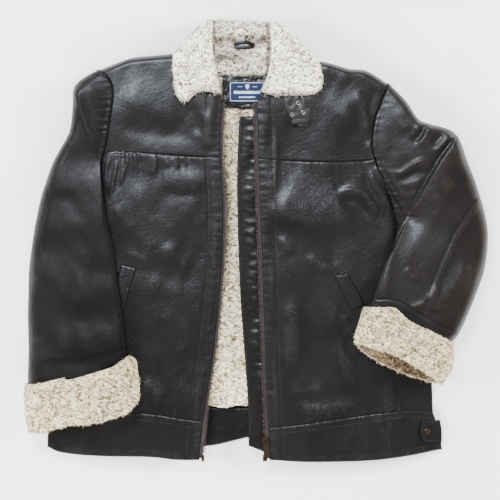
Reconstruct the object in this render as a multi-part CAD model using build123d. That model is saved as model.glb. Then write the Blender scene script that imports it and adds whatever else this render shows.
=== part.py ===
"""Leather jacket with a pile (shearling look) lining, laid on its back, front side up.

Frame, in millimetres: +X towards the wearer's left, +Y towards the collar, +Z up out of the front.
The origin is the centre of the footprint, on the surface that the jacket lies on.
"right" and "left" are the wearer's: right is at -X and left is at +X.
"""
from build123d import *
import math
import os

# ---- materials' thicknesses and running clearances -------------------------------------------
LEATHER = 1.5            # outer leather
PILE = 9.0               # lining: knitted backing and pile
SLEEVE_PILE = 7.0        # the thinner pile inside the sleeves
BAND = 4.0               # hem band: two leathers and the interlining
CAVITY = 10.0            # space left between the back and front linings
BODY_GAP = 0.6           # between a sleeve and the body that it lies on
TURN_GAP = 0.4           # between pieces on different bodies that turn past each other

# ---- levels ----------------------------------------------------------------------------------
BACK_LINING_TOP = LEATHER + PILE
FRONT_LINING_LOW = BACK_LINING_TOP + CAVITY
FRONT_LEATHER_LOW = FRONT_LINING_LOW + PILE
FRONT_TOP = FRONT_LEATHER_LOW + LEATHER

# ---- body, in plan ---------------------------------------------------------------------------
RIGHT_SIDE_X = -362.0
LEFT_SIDE_X = 306.0
SEAM_ALLOWANCE = 8.0     # flat strip where the front is sewn to the back at the side
ARMPIT_Y = 15.0
YOKE_Y = 146.0           # yoke seams
RIGHT_BAND_Y = -312.0    # seams of the hem bands
LEFT_BAND_Y = -316.0
BACK_BAND_Y = -317.0
HEM_Y = -389.0           # lowest point of the front hem
BACK_HEM_Y = -362.0
RIGHT_SLOPE_X = -255.0   # where the front starts to fall towards the side seam
LEFT_SLOPE_X = 225.0

# ---- front opening ---------------------------------------------------------------------------
ZIP_TOP_Y = 244.0
ZIP_LOW_Y = -384.0
RIGHT_CHAIN = [(-55, ZIP_TOP_Y), (-58, 148), (-53, 52), (-57, -62), (-69, -185), (-83, -281), (-94, ZIP_LOW_Y)]
LEFT_CHAIN = [(-6, ZIP_TOP_Y), (16, ZIP_LOW_Y)]
CHAIN_WIDTH = 5.0        # a row of zip teeth
CHAIN_THICK = 3.0
FOOT_LONG = 7.0          # box or pin block at the low end of a row of teeth
TOOTH_PITCH = 5.0
TOOTH_GAP = 2.2
TAPE_WIDTH = 24.0
TAPE_THICK = 0.8
TAPE_SHOWS = 8.0         # from the teeth to the leather edge
WIND_STRIP_OUT = 30.0    # how far the leather strip reaches past the teeth
WIND_STRIP_THICK = 2.5
RIGHT_FOLD = [(-70, 246), (-190, HEM_Y)]
LEFT_FOLD = [(14, 246), (155, HEM_Y)]

# ---- slider ----------------------------------------------------------------------------------
SLIDER_LONG = 14.0
SLIDER_HALF = 4.6
SLIDER_WALL = 1.6
SLIDER_GAP = 0.4
SLIDER_Y = -352.0
PULLER_LONG = 28.0
PULLER_WIDE = 7.0
PULLER_ARM = 1.4         # width of each arm of the puller's fork
BAIL_HIGH = 2.2
BAIL_LONG = 6.0
BAIL_THICK = 1.6
PIN_R = 0.45             # the puller's pin, which turns in the bail
PIN_GAP = 0.05

# ---- collar ----------------------------------------------------------------------------------
RIGHT_ROLL_X = -78.0
LEFT_ROLL_X = 24.0
NECK_Y = 291.0
COLLAR_TOP_Y = 389.0
COLLAR_STAND = 9.0
LEAF_LOW = 36.0
LEAF_THICK = 16.0
UNDER_COLLAR = 1.5

# ---- sleeves ---------------------------------------------------------------------------------
REACH_X = 407.0          # the outermost points of both sleeves
RIGHT_SHOULDER = (-287, 212)
RIGHT_HEAD_R = 78.0
LEFT_SHOULDER = (258, 165)
LEFT_HEAD_R = 85.0
HEAD_TOP = 58.0
CUFF_WALL = 9.0

# ---- small pieces ----------------------------------------------------------------------------
WELT_THICK = 2.2
POCKET_BAG = 1.2
PATCH_THICK = 1.6
LABEL_THICK = 0.8
STRAP_THICK = 3.0
EYELET_R = 4.0
EYELET_BORE = 2.2
TAB_THICK = 2.5
SNAP_R = 6.0
SNAP_THICK = 2.0
FAR = 600.0              # past every edge, for cutting shapes


# ---- shapes ----------------------------------------------------------------------------------
def plate(points, low, high):
    """A flat piece with this outline between two levels."""
    outline = make_face(Polyline(*points, close=True))
    return Pos(0, 0, low) * extrude(outline, amount=high - low)


def layer(low, high):
    """Everything between two surfaces, given as points (x, z), from side to side."""
    section = make_face(Polyline(*(list(low) + list(reversed(high))), close=True))
    return extrude(Plane.XZ * section, amount=FAR, both=True)


def raised(surface, by):
    return [(x, z + by) for x, z in surface]


def shifted(points, dx, dy=0.0):
    return [(x + dx, y + dy) for x, y in points]


def draped(points, low, high):
    """A piece with this outline that lies between two surfaces."""
    return plate(points, -FAR, FAR) & layer(low, high)


def body_surface():
    """Top of the front: level in the middle and falling to the seam at each side."""
    seam = 2 * LEATHER
    return [(RIGHT_SIDE_X - SEAM_ALLOWANCE, seam), (RIGHT_SIDE_X + SEAM_ALLOWANCE, seam),
            (RIGHT_SIDE_X + 22, 10), (RIGHT_SLOPE_X - 45, 22), (RIGHT_SLOPE_X, FRONT_TOP),
            (LEFT_SLOPE_X, FRONT_TOP), (LEFT_SLOPE_X + 30, 22), (LEFT_SIDE_X - 21, 10),
            (LEFT_SIDE_X - SEAM_ALLOWANCE, seam), (LEFT_SIDE_X + SEAM_ALLOWANCE, seam)]


def band_surface():
    """Top of the front hem bands, which rest on the back band at the sides."""
    seam = 2 * BAND
    return [(-FAR, seam), (RIGHT_SIDE_X + 10, seam), (RIGHT_SIDE_X + 22, 12),
            (RIGHT_SLOPE_X - 45, 22), (RIGHT_SLOPE_X, FRONT_TOP), (LEFT_SLOPE_X, FRONT_TOP),
            (LEFT_SLOPE_X + 37, 22), (LEFT_SIDE_X - 6, 12), (LEFT_SIDE_X + 6, seam), (FAR, seam)]


def sleeve_floor():
    """What the sleeves and cuffs lie on: the body, its pockets and hem band, then the ground."""
    over = FRONT_TOP + WELT_THICK + BODY_GAP
    band = 2 * BAND + BODY_GAP
    return [(-FAR, 1), (RIGHT_SIDE_X - 10, 1), (RIGHT_SIDE_X - 4.2, band), (RIGHT_SIDE_X + 10, band),
            (RIGHT_SIDE_X + 22, 12 + BODY_GAP), (RIGHT_SLOPE_X - 45, 22 + BODY_GAP),
            (RIGHT_SLOPE_X - 15, over - 3), (RIGHT_SLOPE_X, over), (LEFT_SLOPE_X - 3, over),
            (LEFT_SLOPE_X + 15, over - 4), (LEFT_SLOPE_X + 30, 22 + BODY_GAP),
            (LEFT_SIDE_X - 21, 10 + BODY_GAP), (LEFT_SIDE_X - SEAM_ALLOWANCE, 3 + BODY_GAP),
            (LEFT_SIDE_X, 3 + BODY_GAP), (LEFT_SIDE_X + SEAM_ALLOWANCE, 1), (FAR, 1)]


SLEEVE_TOP = [(-FAR, 22), (-REACH_X, 22), (-385, 38), (-350, 50), (-300, 60), (-240, 58), (-200, 52),
              (160, 52), (220, 60), (300, 62), (350, 50), (385, 36), (REACH_X, 22), (FAR, 22)]
CUFF_TOP = [(-FAR, 32), (-REACH_X, 32), (-385, 54), (-350, 68), (-300, 78), (-240, 76), (-200, 62),
            (160, 62), (200, 76), (300, 78), (350, 58), (FAR, 58)]

# ---- outlines of the body, wearer's right then left -------------------------------------------
RIGHT_SHOULDER_LINE = [(-104, 322), (-146, 328), (-221, 321), (-277, 300)]
RIGHT_ARMHOLE = [(-277, 300), (-256, 279), (-251, 265), (-251, 244), (-256, 209), (-262, 174), (-268, YOKE_Y)]
RIGHT_UNDER_ARM = [(-268, YOKE_Y), (-280, 90), (-310, 40), (RIGHT_SIDE_X, ARMPIT_Y)]
LEFT_SHOULDER_LINE = [(62, 320), (106, 316), (164, 302), (195, 298), (232, 279)]
LEFT_ARMHOLE = [(232, 274), (216, 235), (207, 209), (202, 165), (207, YOKE_Y)]
LEFT_UNDER_ARM = [(207, YOKE_Y), (218, 113), (249, 60), (262, 38), (LEFT_SIDE_X, ARMPIT_Y)]
RIGHT_NECK = [(-60, 250), (-92, 288), (-104, 322)]
LEFT_NECK = [(4, 250), (38, 288), (62, 320)]


def fold_x(fold, y, away=0.0):
    """Where a fold line is at this height, or a line beside it."""
    (x0, y0), (x1, y1) = fold
    return x0 + (x1 - x0) * (y - y0) / (y1 - y0) + away


def chain_x(chain, y):
    """Where the row of zip teeth is at this height."""
    for (x0, y0), (x1, y1) in zip(chain, chain[1:]):
        if y1 <= y <= y0:
            return x0 + (x1 - x0) * (y - y0) / (y1 - y0)
    return chain[0][0] if y > chain[0][1] else chain[-1][0]


def back_outline(low):
    """Torso between the side seams, from this height up to the shoulders."""
    return ([(RIGHT_SIDE_X, low), (RIGHT_SIDE_X, ARMPIT_Y)] + RIGHT_UNDER_ARM[::-1][1:]
            + RIGHT_ARMHOLE[::-1][1:] + RIGHT_SHOULDER_LINE[::-1][1:]
            + [(-92, NECK_Y), (36, NECK_Y)] + LEFT_SHOULDER_LINE
            + LEFT_ARMHOLE + LEFT_UNDER_ARM[1:] + [(LEFT_SIDE_X, low)])


def yoke_outline(fold, neck, shoulder, armhole, towards):
    return ([(fold_x(fold, YOKE_Y, towards * TURN_GAP), YOKE_Y), (fold[0][0] + towards * TURN_GAP, fold[0][1])]
            + neck + shoulder[1:] + armhole[1:])


def front_outline(fold, under_arm, side_x, band_y, towards):
    return ([(fold_x(fold, YOKE_Y, towards * TURN_GAP), YOKE_Y)] + under_arm
            + [(side_x, band_y), (fold_x(fold, band_y, towards * TURN_GAP), band_y)])


def shoulder_wall(line):
    """The strip that closes the shoulder between the front yoke and the back."""
    inner = shifted(line, 0, -2 * LEATHER)
    return plate(line + inner[::-1], LEATHER, FRONT_LEATHER_LOW)


# ---- back ------------------------------------------------------------------------------------
def back_panel():
    return plate(back_outline(BACK_BAND_Y), 0, LEATHER)


def back_lining():
    edge = 42.0          # the lining stops where the front comes down to the side seam
    outline = ([(RIGHT_SIDE_X + edge, BACK_BAND_Y), (RIGHT_SIDE_X + edge, ARMPIT_Y), (-262, 120), (-240, 270),
                (-90, 288), (36, 288), (196, 262), (205, 120), (LEFT_SIDE_X - edge, ARMPIT_Y),
                (LEFT_SIDE_X - edge, BACK_BAND_Y)])
    return plate(outline, LEATHER, BACK_LINING_TOP)


def hem_band_back():
    return plate([(RIGHT_SIDE_X - 2, BACK_BAND_Y), (LEFT_SIDE_X + 6, BACK_BAND_Y), (LEFT_SIDE_X + 16, BACK_HEM_Y),
                  (RIGHT_SIDE_X - 3, BACK_HEM_Y)], 0, BAND)


def neck_patch():
    return plate([(-60, 232), (-60, 287), (24, 287), (24, 232)], BACK_LINING_TOP, BACK_LINING_TOP + PATCH_THICK)


def woven_label():
    low = BACK_LINING_TOP + PATCH_THICK
    return plate([(-48, 242), (-48, 278), (15, 278), (15, 242)], low, low + LABEL_THICK)


def hanger_loop():
    wide, deep, strand = 34.0, 13.0, 3.6
    ring = extrude(SlotOverall(wide, deep) - SlotOverall(wide - 2 * strand, deep - 2 * strand), amount=strand)
    return Pos(-22, 341, BACK_LINING_TOP) * ring


def under_collar_back():
    return plate([(RIGHT_ROLL_X - COLLAR_STAND, NECK_Y), (RIGHT_ROLL_X - COLLAR_STAND, COLLAR_TOP_Y),
                  (LEFT_ROLL_X + COLLAR_STAND, COLLAR_TOP_Y - 5), (LEFT_ROLL_X + COLLAR_STAND, NECK_Y)], 0, LEATHER)


def collar_back():
    """Pile face of the collar's back, with the stand that rises to each roll line."""
    outline = [(RIGHT_ROLL_X - COLLAR_STAND, NECK_Y), (RIGHT_ROLL_X - COLLAR_STAND, COLLAR_TOP_Y),
               (LEFT_ROLL_X + COLLAR_STAND, COLLAR_TOP_Y - 5), (LEFT_ROLL_X + COLLAR_STAND, NECK_Y)]
    inside = [(RIGHT_ROLL_X, NECK_Y - 1), (RIGHT_ROLL_X, COLLAR_TOP_Y + 1),
              (LEFT_ROLL_X, COLLAR_TOP_Y + 1), (LEFT_ROLL_X, NECK_Y - 1)]
    stand_top = LEAF_LOW - UNDER_COLLAR - 2 * TURN_GAP
    return plate(outline, LEATHER, stand_top) - plate(inside, BACK_LINING_TOP, stand_top + 1)


# ---- fixed fronts ----------------------------------------------------------------------------
def front_leather(outline):
    return draped(outline, raised(body_surface(), -LEATHER), body_surface())


def right_front_yoke():
    outline = yoke_outline(RIGHT_FOLD, RIGHT_NECK, RIGHT_SHOULDER_LINE, RIGHT_ARMHOLE, -1)
    return front_leather(outline) + shoulder_wall(RIGHT_SHOULDER_LINE)


def left_front_yoke():
    outline = yoke_outline(LEFT_FOLD, LEFT_NECK, LEFT_SHOULDER_LINE, LEFT_ARMHOLE, 1)
    return front_leather(outline) + shoulder_wall(LEFT_SHOULDER_LINE)


def right_front_panel():
    return front_leather(front_outline(RIGHT_FOLD, RIGHT_UNDER_ARM, RIGHT_SIDE_X, RIGHT_BAND_Y, -1))


def left_front_panel():
    return front_leather(front_outline(LEFT_FOLD, LEFT_UNDER_ARM, LEFT_SIDE_X, LEFT_BAND_Y, 1))


def front_pile(outline):
    low = raised(body_surface(), -LEATHER - PILE)
    return draped(outline, low, raised(body_surface(), -LEATHER))


def pocket_recess(bag):
    """Room in the pile for a pocket bag."""
    low = FRONT_LEATHER_LOW - POCKET_BAG
    room = offset(make_face(Polyline(*bag, close=True)), amount=TURN_GAP, kind=Kind.INTERSECTION)
    return Pos(0, 0, low) * extrude(room, amount=2 * POCKET_BAG)


RIGHT_BAG = [(-250, -230), (-236, -60), (-180, -50), (-172, -225)]
LEFT_BAG = [(132, -225), (126, -62), (176, -76), (205, -230)]


def right_front_lining():
    outline = [(fold_x(RIGHT_FOLD, 240, -TURN_GAP), 240), (-88, 284), (-240, 285), (-246, 150), (-292, ARMPIT_Y),
               (-296, RIGHT_BAND_Y), (fold_x(RIGHT_FOLD, RIGHT_BAND_Y, -TURN_GAP), RIGHT_BAND_Y)]
    return front_pile(outline) - pocket_recess(RIGHT_BAG)


def left_front_lining():
    outline = [(fold_x(LEFT_FOLD, 240, TURN_GAP), 240), (34, 284), (190, 276), (200, 150), (246, ARMPIT_Y),
               (248, LEFT_BAND_Y), (fold_x(LEFT_FOLD, LEFT_BAND_Y, TURN_GAP), LEFT_BAND_Y)]
    return front_pile(outline) - pocket_recess(LEFT_BAG)


def right_hem_band():
    outline = [(fold_x(RIGHT_FOLD, RIGHT_BAND_Y, -TURN_GAP), RIGHT_BAND_Y), (RIGHT_SIDE_X - 2, RIGHT_BAND_Y),
               (RIGHT_SIDE_X - 4, -366), (-340, -379),
               (fold_x(RIGHT_FOLD, -380, -TURN_GAP), -380)]
    return draped(outline, raised(band_surface(), -BAND), band_surface())


def left_hem_band():
    outline = [(fold_x(LEFT_FOLD, LEFT_BAND_Y, TURN_GAP), LEFT_BAND_Y), (LEFT_SIDE_X + 8, LEFT_BAND_Y),
               (LEFT_SIDE_X + 20, -372), (200, -387), (fold_x(LEFT_FOLD, HEM_Y, TURN_GAP), HEM_Y)]
    return draped(outline, raised(band_surface(), -BAND), band_surface())


def right_pocket_welt():
    outline = [(-223, -42), (-209, -50), (-246, -186), (-262, -180)]
    return draped(outline, body_surface(), raised(body_surface(), WELT_THICK))


def left_pocket_welt():
    outline = [(136, -60), (150, -56), (176, -112), (163, -120)]
    return draped(outline, body_surface(), raised(body_surface(), WELT_THICK))


def pocket_bag(bag):
    return plate(bag, FRONT_LEATHER_LOW - POCKET_BAG, FRONT_LEATHER_LOW)


# ---- flaps: the part of each front that folds open along its fold line --------------------------
def flap_edge(chain, beside, top, low):
    """The line of the chain, moved sideways, from top to low."""
    inner = [(x + beside, y) for x, y in chain if low < y < top]
    return [(chain_x(chain, top) + beside, top)] + inner + [(chain_x(chain, low) + beside, low)]


def flap_outline(chain, fold, beside, top, low):
    return flap_edge(chain, beside, top, low) + [(fold_x(fold, low), low), (fold_x(fold, top), top)]


def flap_panel(chain, fold, towards, band_y):
    outline = flap_outline(chain, fold, towards * TAPE_SHOWS, ZIP_TOP_Y - 2, band_y)
    return plate(outline, FRONT_LEATHER_LOW, FRONT_TOP)


def flap_lining(chain, fold, towards, band_y):
    outline = flap_outline(chain, fold, towards * (TAPE_WIDTH + 2), 120, band_y)
    return plate(outline, FRONT_LINING_LOW, FRONT_LEATHER_LOW)


def flap_hem(chain, fold, towards, band_y, low):
    outline = flap_outline(chain, fold, towards * TAPE_SHOWS, band_y, low)
    under_tape = plate(flap_outline(chain, fold, towards * (TAPE_WIDTH + 1), band_y + 1, low - 1),
                       FRONT_TOP - BAND, FRONT_LEATHER_LOW)
    return plate(outline, FRONT_LEATHER_LOW, FRONT_TOP) + (under_tape & plate(outline, 0, FRONT_TOP))


def zip_tape(chain, fold, towards):
    """Woven tape of one half of the zip, kept inside the fold line."""
    top, low = ZIP_TOP_Y - 4, ZIP_LOW_Y + FOOT_LONG
    outer = flap_edge(chain, towards * CHAIN_WIDTH / 2, top, low)
    inner = flap_edge(chain, towards * TAPE_WIDTH, top, low)
    whole = plate(outer + inner[::-1], FRONT_LEATHER_LOW - TAPE_THICK, FRONT_LEATHER_LOW)
    flap = plate(flap_outline(chain, fold, 0, top, low), 0, FRONT_TOP)
    return whole & flap


def zip_teeth(chain, towards):
    """A row of teeth on its bead, one comb along the chain."""
    half = CHAIN_WIDTH / 2
    count = int((ZIP_TOP_Y - ZIP_LOW_Y - 20) / TOOTH_PITCH)
    edge = []
    for i in range(count):
        y = ZIP_TOP_Y - 8 - i * TOOTH_PITCH
        for step, out in ((0, half), (TOOTH_PITCH - TOOTH_GAP, half), (TOOTH_PITCH - TOOTH_GAP, 0), (TOOTH_PITCH, 0)):
            edge.append((chain_x(chain, y - step) - towards * out, y - step))
    edge = [(chain_x(chain, edge[0][1]) - towards * 0, edge[0][1])] + edge
    back = [(chain_x(chain, y) + towards * half, y) for y in (edge[-1][1],)]
    back += [(x + towards * half, y) for x, y in chain[::-1] if edge[-1][1] < y < edge[0][1]]
    back += [(chain_x(chain, edge[0][1]) + towards * half, edge[0][1])]
    low = FRONT_LEATHER_LOW - TAPE_THICK / 2 - CHAIN_THICK / 2
    return plate(edge + back, low, low + CHAIN_THICK)


def wind_strip():
    """Leather strip behind the left zip, which closes the gap when the zip is shut."""
    outline = (flap_edge(LEFT_CHAIN, -WIND_STRIP_OUT, 218, BACK_BAND_Y)
               + [(-10, ZIP_LOW_Y + 4)] + flap_edge(LEFT_CHAIN, 12, 218, ZIP_LOW_Y + 4)[::-1])
    return plate(outline, FRONT_LINING_LOW + 2, FRONT_LINING_LOW + 2 + WIND_STRIP_THICK)


def wind_strip_stitching():
    """Seam that carries the strip on the zip tape: a thin cord of leather between the two."""
    outline = flap_edge(LEFT_CHAIN, 9, 216, ZIP_LOW_Y + 6) + flap_edge(LEFT_CHAIN, 12, 216, ZIP_LOW_Y + 6)[::-1]
    return plate(outline, FRONT_LINING_LOW + 2 + WIND_STRIP_THICK, FRONT_LEATHER_LOW - TAPE_THICK)


def zip_foot(chain, towards, wide):
    """The box or the pin block at the low end of a chain."""
    y0, y1 = ZIP_LOW_Y - 4, ZIP_LOW_Y + FOOT_LONG
    x = chain_x(chain, ZIP_LOW_Y)
    low = FRONT_LEATHER_LOW - TAPE_THICK / 2 - CHAIN_THICK / 2
    a, b = sorted((x - towards * wide, x + towards * CHAIN_WIDTH / 2))
    return plate([(a, y0), (b, y0), (b, y1), (a, y1)], low, low + CHAIN_THICK)


def along_left_chain():
    (x0, y0), (x1, y1) = LEFT_CHAIN
    return math.degrees(math.atan2(x1 - x0, y0 - y1))


def slider_top():
    """Top face of the slider, above the middle of the teeth."""
    return CHAIN_THICK / 2 + SLIDER_GAP + SLIDER_WALL


def on_left_chain(made, height):
    """Puts a piece made about the middle of the teeth at the slider's place at rest."""
    mid = FRONT_LEATHER_LOW - TAPE_THICK / 2
    return Pos(chain_x(LEFT_CHAIN, SLIDER_Y), SLIDER_Y, mid + height) * Rot(0, 0, along_left_chain()) * made


def zip_slider():
    """A channel that wraps the row of teeth and leaves its tape free on one side."""
    room = CHAIN_THICK + 2 * SLIDER_GAP
    block = Box(2 * SLIDER_HALF, SLIDER_LONG, 2 * slider_top())
    slot = Pos(SLIDER_WALL, 0, 0) * Box(2 * SLIDER_HALF, SLIDER_LONG + 2, room)
    bail = Pos(0, 0, slider_top() + BAIL_HIGH / 2) * Box(BAIL_THICK, BAIL_LONG, BAIL_HIGH)
    eye = Pos(0, 0, slider_top() + BAIL_HIGH / 2) * Rot(0, 90, 0) * Cylinder(PIN_R + PIN_GAP, 2 * BAIL_THICK)
    return on_left_chain(block - slot + (bail - eye), 0)


def zip_puller():
    """A forked tab on a pin through the slider's bail, lying towards the hem."""
    thick = 2 * PIN_R
    clear = BAIL_LONG / 2 + 1.2
    arm_x = BAIL_THICK / 2 + 1.2
    tab = Pos(0, -PULLER_LONG / 2 - clear, thick / 2) * Box(PULLER_WIDE, PULLER_LONG, thick)
    made = tab + Rot(0, 90, 0) * Cylinder(PIN_R, 2 * arm_x + PULLER_ARM)
    for side in (-1, 1):
        made += Pos(side * arm_x, -clear / 2 - 0.7, thick / 2) * Box(PULLER_ARM, clear + 2.4, thick)
    return on_left_chain(made, slider_top() + BAIL_HIGH / 2)


# ---- collar leaves ---------------------------------------------------------------------------
RIGHT_LEAF = [(RIGHT_ROLL_X, COLLAR_TOP_Y - 2), (-146, 332), (-146, 288), (-135, 246), (-121, 241), (-99, 262),
              (RIGHT_ROLL_X, 256)]
LEFT_LEAF = [(LEFT_ROLL_X, 384), (106, 318), (116, 279), (113, 266), (94, 256), (59, 251), (LEFT_ROLL_X, 253)]


def leaf_pile(outline):
    return plate(outline, LEAF_LOW, LEAF_LOW + LEAF_THICK)


def leaf_leather(outline):
    return plate(outline, LEAF_LOW - UNDER_COLLAR, LEAF_LOW)


# ---- throat strap on the left leaf ---------------------------------------------------------------
STRAP_ROOT_Y = 246.0
STRAP_TIP_Y = 197.0
STRAP_LOW = FRONT_TOP + TURN_GAP
EYELETS = [(62, 218), (81, 222), (73, 238)]


def throat_strap():
    outline = [(46, STRAP_ROOT_Y), (97, STRAP_ROOT_Y), (94, 222), (88, STRAP_TIP_Y + 4), (82, STRAP_TIP_Y),
               (70, STRAP_TIP_Y), (64, STRAP_TIP_Y + 4), (50, 222)]
    strap = plate(outline, STRAP_LOW, STRAP_LOW + STRAP_THICK)
    for x, y in EYELETS:
        strap -= Pos(x, y, STRAP_LOW) * Cylinder(EYELET_R - 1, 4 * STRAP_THICK)
    return strap


def strap_eyelet(place):
    """A rolled brass ring through the strap, with a flange on top."""
    x, y = place
    tube = Cylinder(EYELET_R - 1, STRAP_THICK, align=(Align.CENTER, Align.CENTER, Align.MIN))
    flange = Pos(0, 0, STRAP_THICK) * Cylinder(EYELET_R, 0.8, align=(Align.CENTER, Align.CENTER, Align.MIN))
    bore = Cylinder(EYELET_BORE, 6 * STRAP_THICK)
    return Pos(x, y, STRAP_LOW) * (tube + flange - bore)


def strap_keeper():
    low = STRAP_LOW + STRAP_THICK
    return plate([(64, 203), (64, 209), (89, 211), (89, 205)], low, low + 2.0)


# ---- hem tab at the left side ------------------------------------------------------------------
SNAP_PLACE = (301, -338)


def hem_tab():
    low = raised(band_surface(), TURN_GAP)
    outline = [(294, -320), (LEFT_SIDE_X + 18, -318), (LEFT_SIDE_X + 20, -358), (294, -356), (289, -338)]
    return draped(outline, low, raised(low, TAB_THICK))


def hem_tab_snap():
    """Cap of the press stud, which follows the slope of the tab."""
    top = raised(band_surface(), TURN_GAP + TAB_THICK)
    return (Pos(*SNAP_PLACE, 0) * Cylinder(SNAP_R, FAR)) & layer(top, raised(top, SNAP_THICK))


# ---- sleeves ---------------------------------------------------------------------------------
RIGHT_OUTER = [(-330, 192), (-351, 157), (-370, 104), (-388, 34), (-400, -45), (-403, -123), (-402, -193), (-403, -257)]
RIGHT_INNER = [(-262, 174), (-272, 139), (-265, 60), (-249, -18), (-239, -88), (-232, -141), (-225, -203)]
RIGHT_HEAD = RIGHT_ARMHOLE[:-1] + [(-272, 139), (-351, 120), (-351, 157), (-330, 192), (-323, 274)]
LEFT_OUTER = [(304, 209), (351, 186), (368, 139), (386, 92), (405, 17), (REACH_X, -1), (400, -53), (382, -101),
              (356, -160), (340, -179)]
LEFT_INNER = [(202, 165), (209, 139), (218, 113), (233, 85), (249, 60), (250, 20), (235, -20), (221, -45),
              (206, -88), (196, -119)]
LEFT_HEAD = LEFT_ARMHOLE[:-1] + [(209, 139), (218, 113), (233, 85), (300, 70), (351, 186), (304, 209), (286, 212),
                                 (263, 244), (234, 279)]
RIGHT_CUFF_EDGE = [(-403, -257), (-344, -243), (-291, -234), (-225, -203)]
LEFT_CUFF_EDGE = [(340, -179), (304, -160), (269, -143), (237, -121), (196, -119)]
RIGHT_CUFF_END = [(-206, -212), (-202, -270), (-221, -297), (-286, -319), (-361, -332), (-400, -335), (-REACH_X, -262)]
LEFT_CUFF_END = [(185, -122), (177, -146), (167, -180), (199, -200), (251, -230), (286, -248), (320, -251), (333, -242),
                 (347, -204)]


def sleeve_outline(outer, edge, inner, inset=0.0, towards=1):
    """Between the two side lines, each drawn in by the inset, and open past the cuff line."""
    if inset:
        return (shifted(outer, -towards * inset) + shifted(edge[1:-1], 0, -40) + shifted(inner, towards * inset)[::-1])
    return outer + edge[1:-1] + inner[::-1]


def head_cut(shoulder, radius):
    return Pos(shoulder[0], shoulder[1], 0) * Cylinder(radius, 4 * FAR)


def sleeve_head(outline, armhole, shoulder, radius, towards):
    """Leather cap over the shoulder, sewn to the armhole, open below where the sleeve starts."""
    low = FRONT_TOP + TURN_GAP
    wall = 2 * LEATHER
    cap = plate(outline, HEAD_TOP - LEATHER, HEAD_TOP)
    seam = plate(armhole + shifted(armhole, towards * wall)[::-1], low, HEAD_TOP - LEATHER)
    top = Pos(0, shoulder[1] + 0.8 * radius + FAR, 0) * Box(4 * FAR, 2 * FAR, 4 * FAR)
    kept = (cap + (seam & plate(outline, low, HEAD_TOP))) & (head_cut(shoulder, radius) + top)
    return max(kept.solids(), key=lambda s: s.volume)


def past_head(made, shoulder, radius):
    """The part of a sleeve piece outside the sleeve head, with room to turn."""
    return max((made - head_cut(shoulder, radius + TURN_GAP)).solids(), key=lambda s: s.volume)


def sleeve_under(outer, edge, inner, shoulder, radius):
    low = sleeve_floor()
    made = draped(sleeve_outline(outer, edge, inner), low, raised(low, LEATHER))
    return past_head(made, shoulder, radius)


def sleeve_top(outer, edge, inner, shoulder, radius, towards):
    low = raised(sleeve_floor(), LEATHER)
    shell = draped(sleeve_outline(outer, edge, inner), low, SLEEVE_TOP)
    inset = sleeve_outline(outer, edge, inner, LEATHER, towards)
    hollow = draped(inset, raised(low, -1), raised(SLEEVE_TOP, -LEATHER))
    return past_head(shell - hollow, shoulder, radius)


def sleeve_lining(outer, edge, inner, shoulder, radius, towards, upper):
    inset = sleeve_outline(outer, edge, inner, LEATHER + TURN_GAP / 2, towards)
    if upper:
        band = layer(raised(SLEEVE_TOP, -LEATHER - SLEEVE_PILE), raised(SLEEVE_TOP, -LEATHER))
    else:
        band = layer(raised(sleeve_floor(), LEATHER), raised(sleeve_floor(), LEATHER + SLEEVE_PILE))
    made = plate(inset, -FAR, FAR) & plate(sleeve_outline(outer, edge, inner), -FAR, FAR) & band
    return past_head(made, shoulder, radius + 6)


def cuff(edge, end, mouth):
    """Turned-back pile cuff: a flattened ring, open towards the hand and the sleeve."""
    ring = draped(edge + end, sleeve_floor(), CUFF_TOP)
    inside = plate(mouth, -FAR, FAR) & layer(raised(sleeve_floor(), CUFF_WALL), raised(CUFF_TOP, -CUFF_WALL))
    return ring - inside


RIGHT_MOUTH = [(-392, -240), (-388, -350), (-216, -320), (-214, -190)]
LEFT_MOUTH = [(196, -100), (180, -215), (330, -280), (336, -165)]


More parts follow.
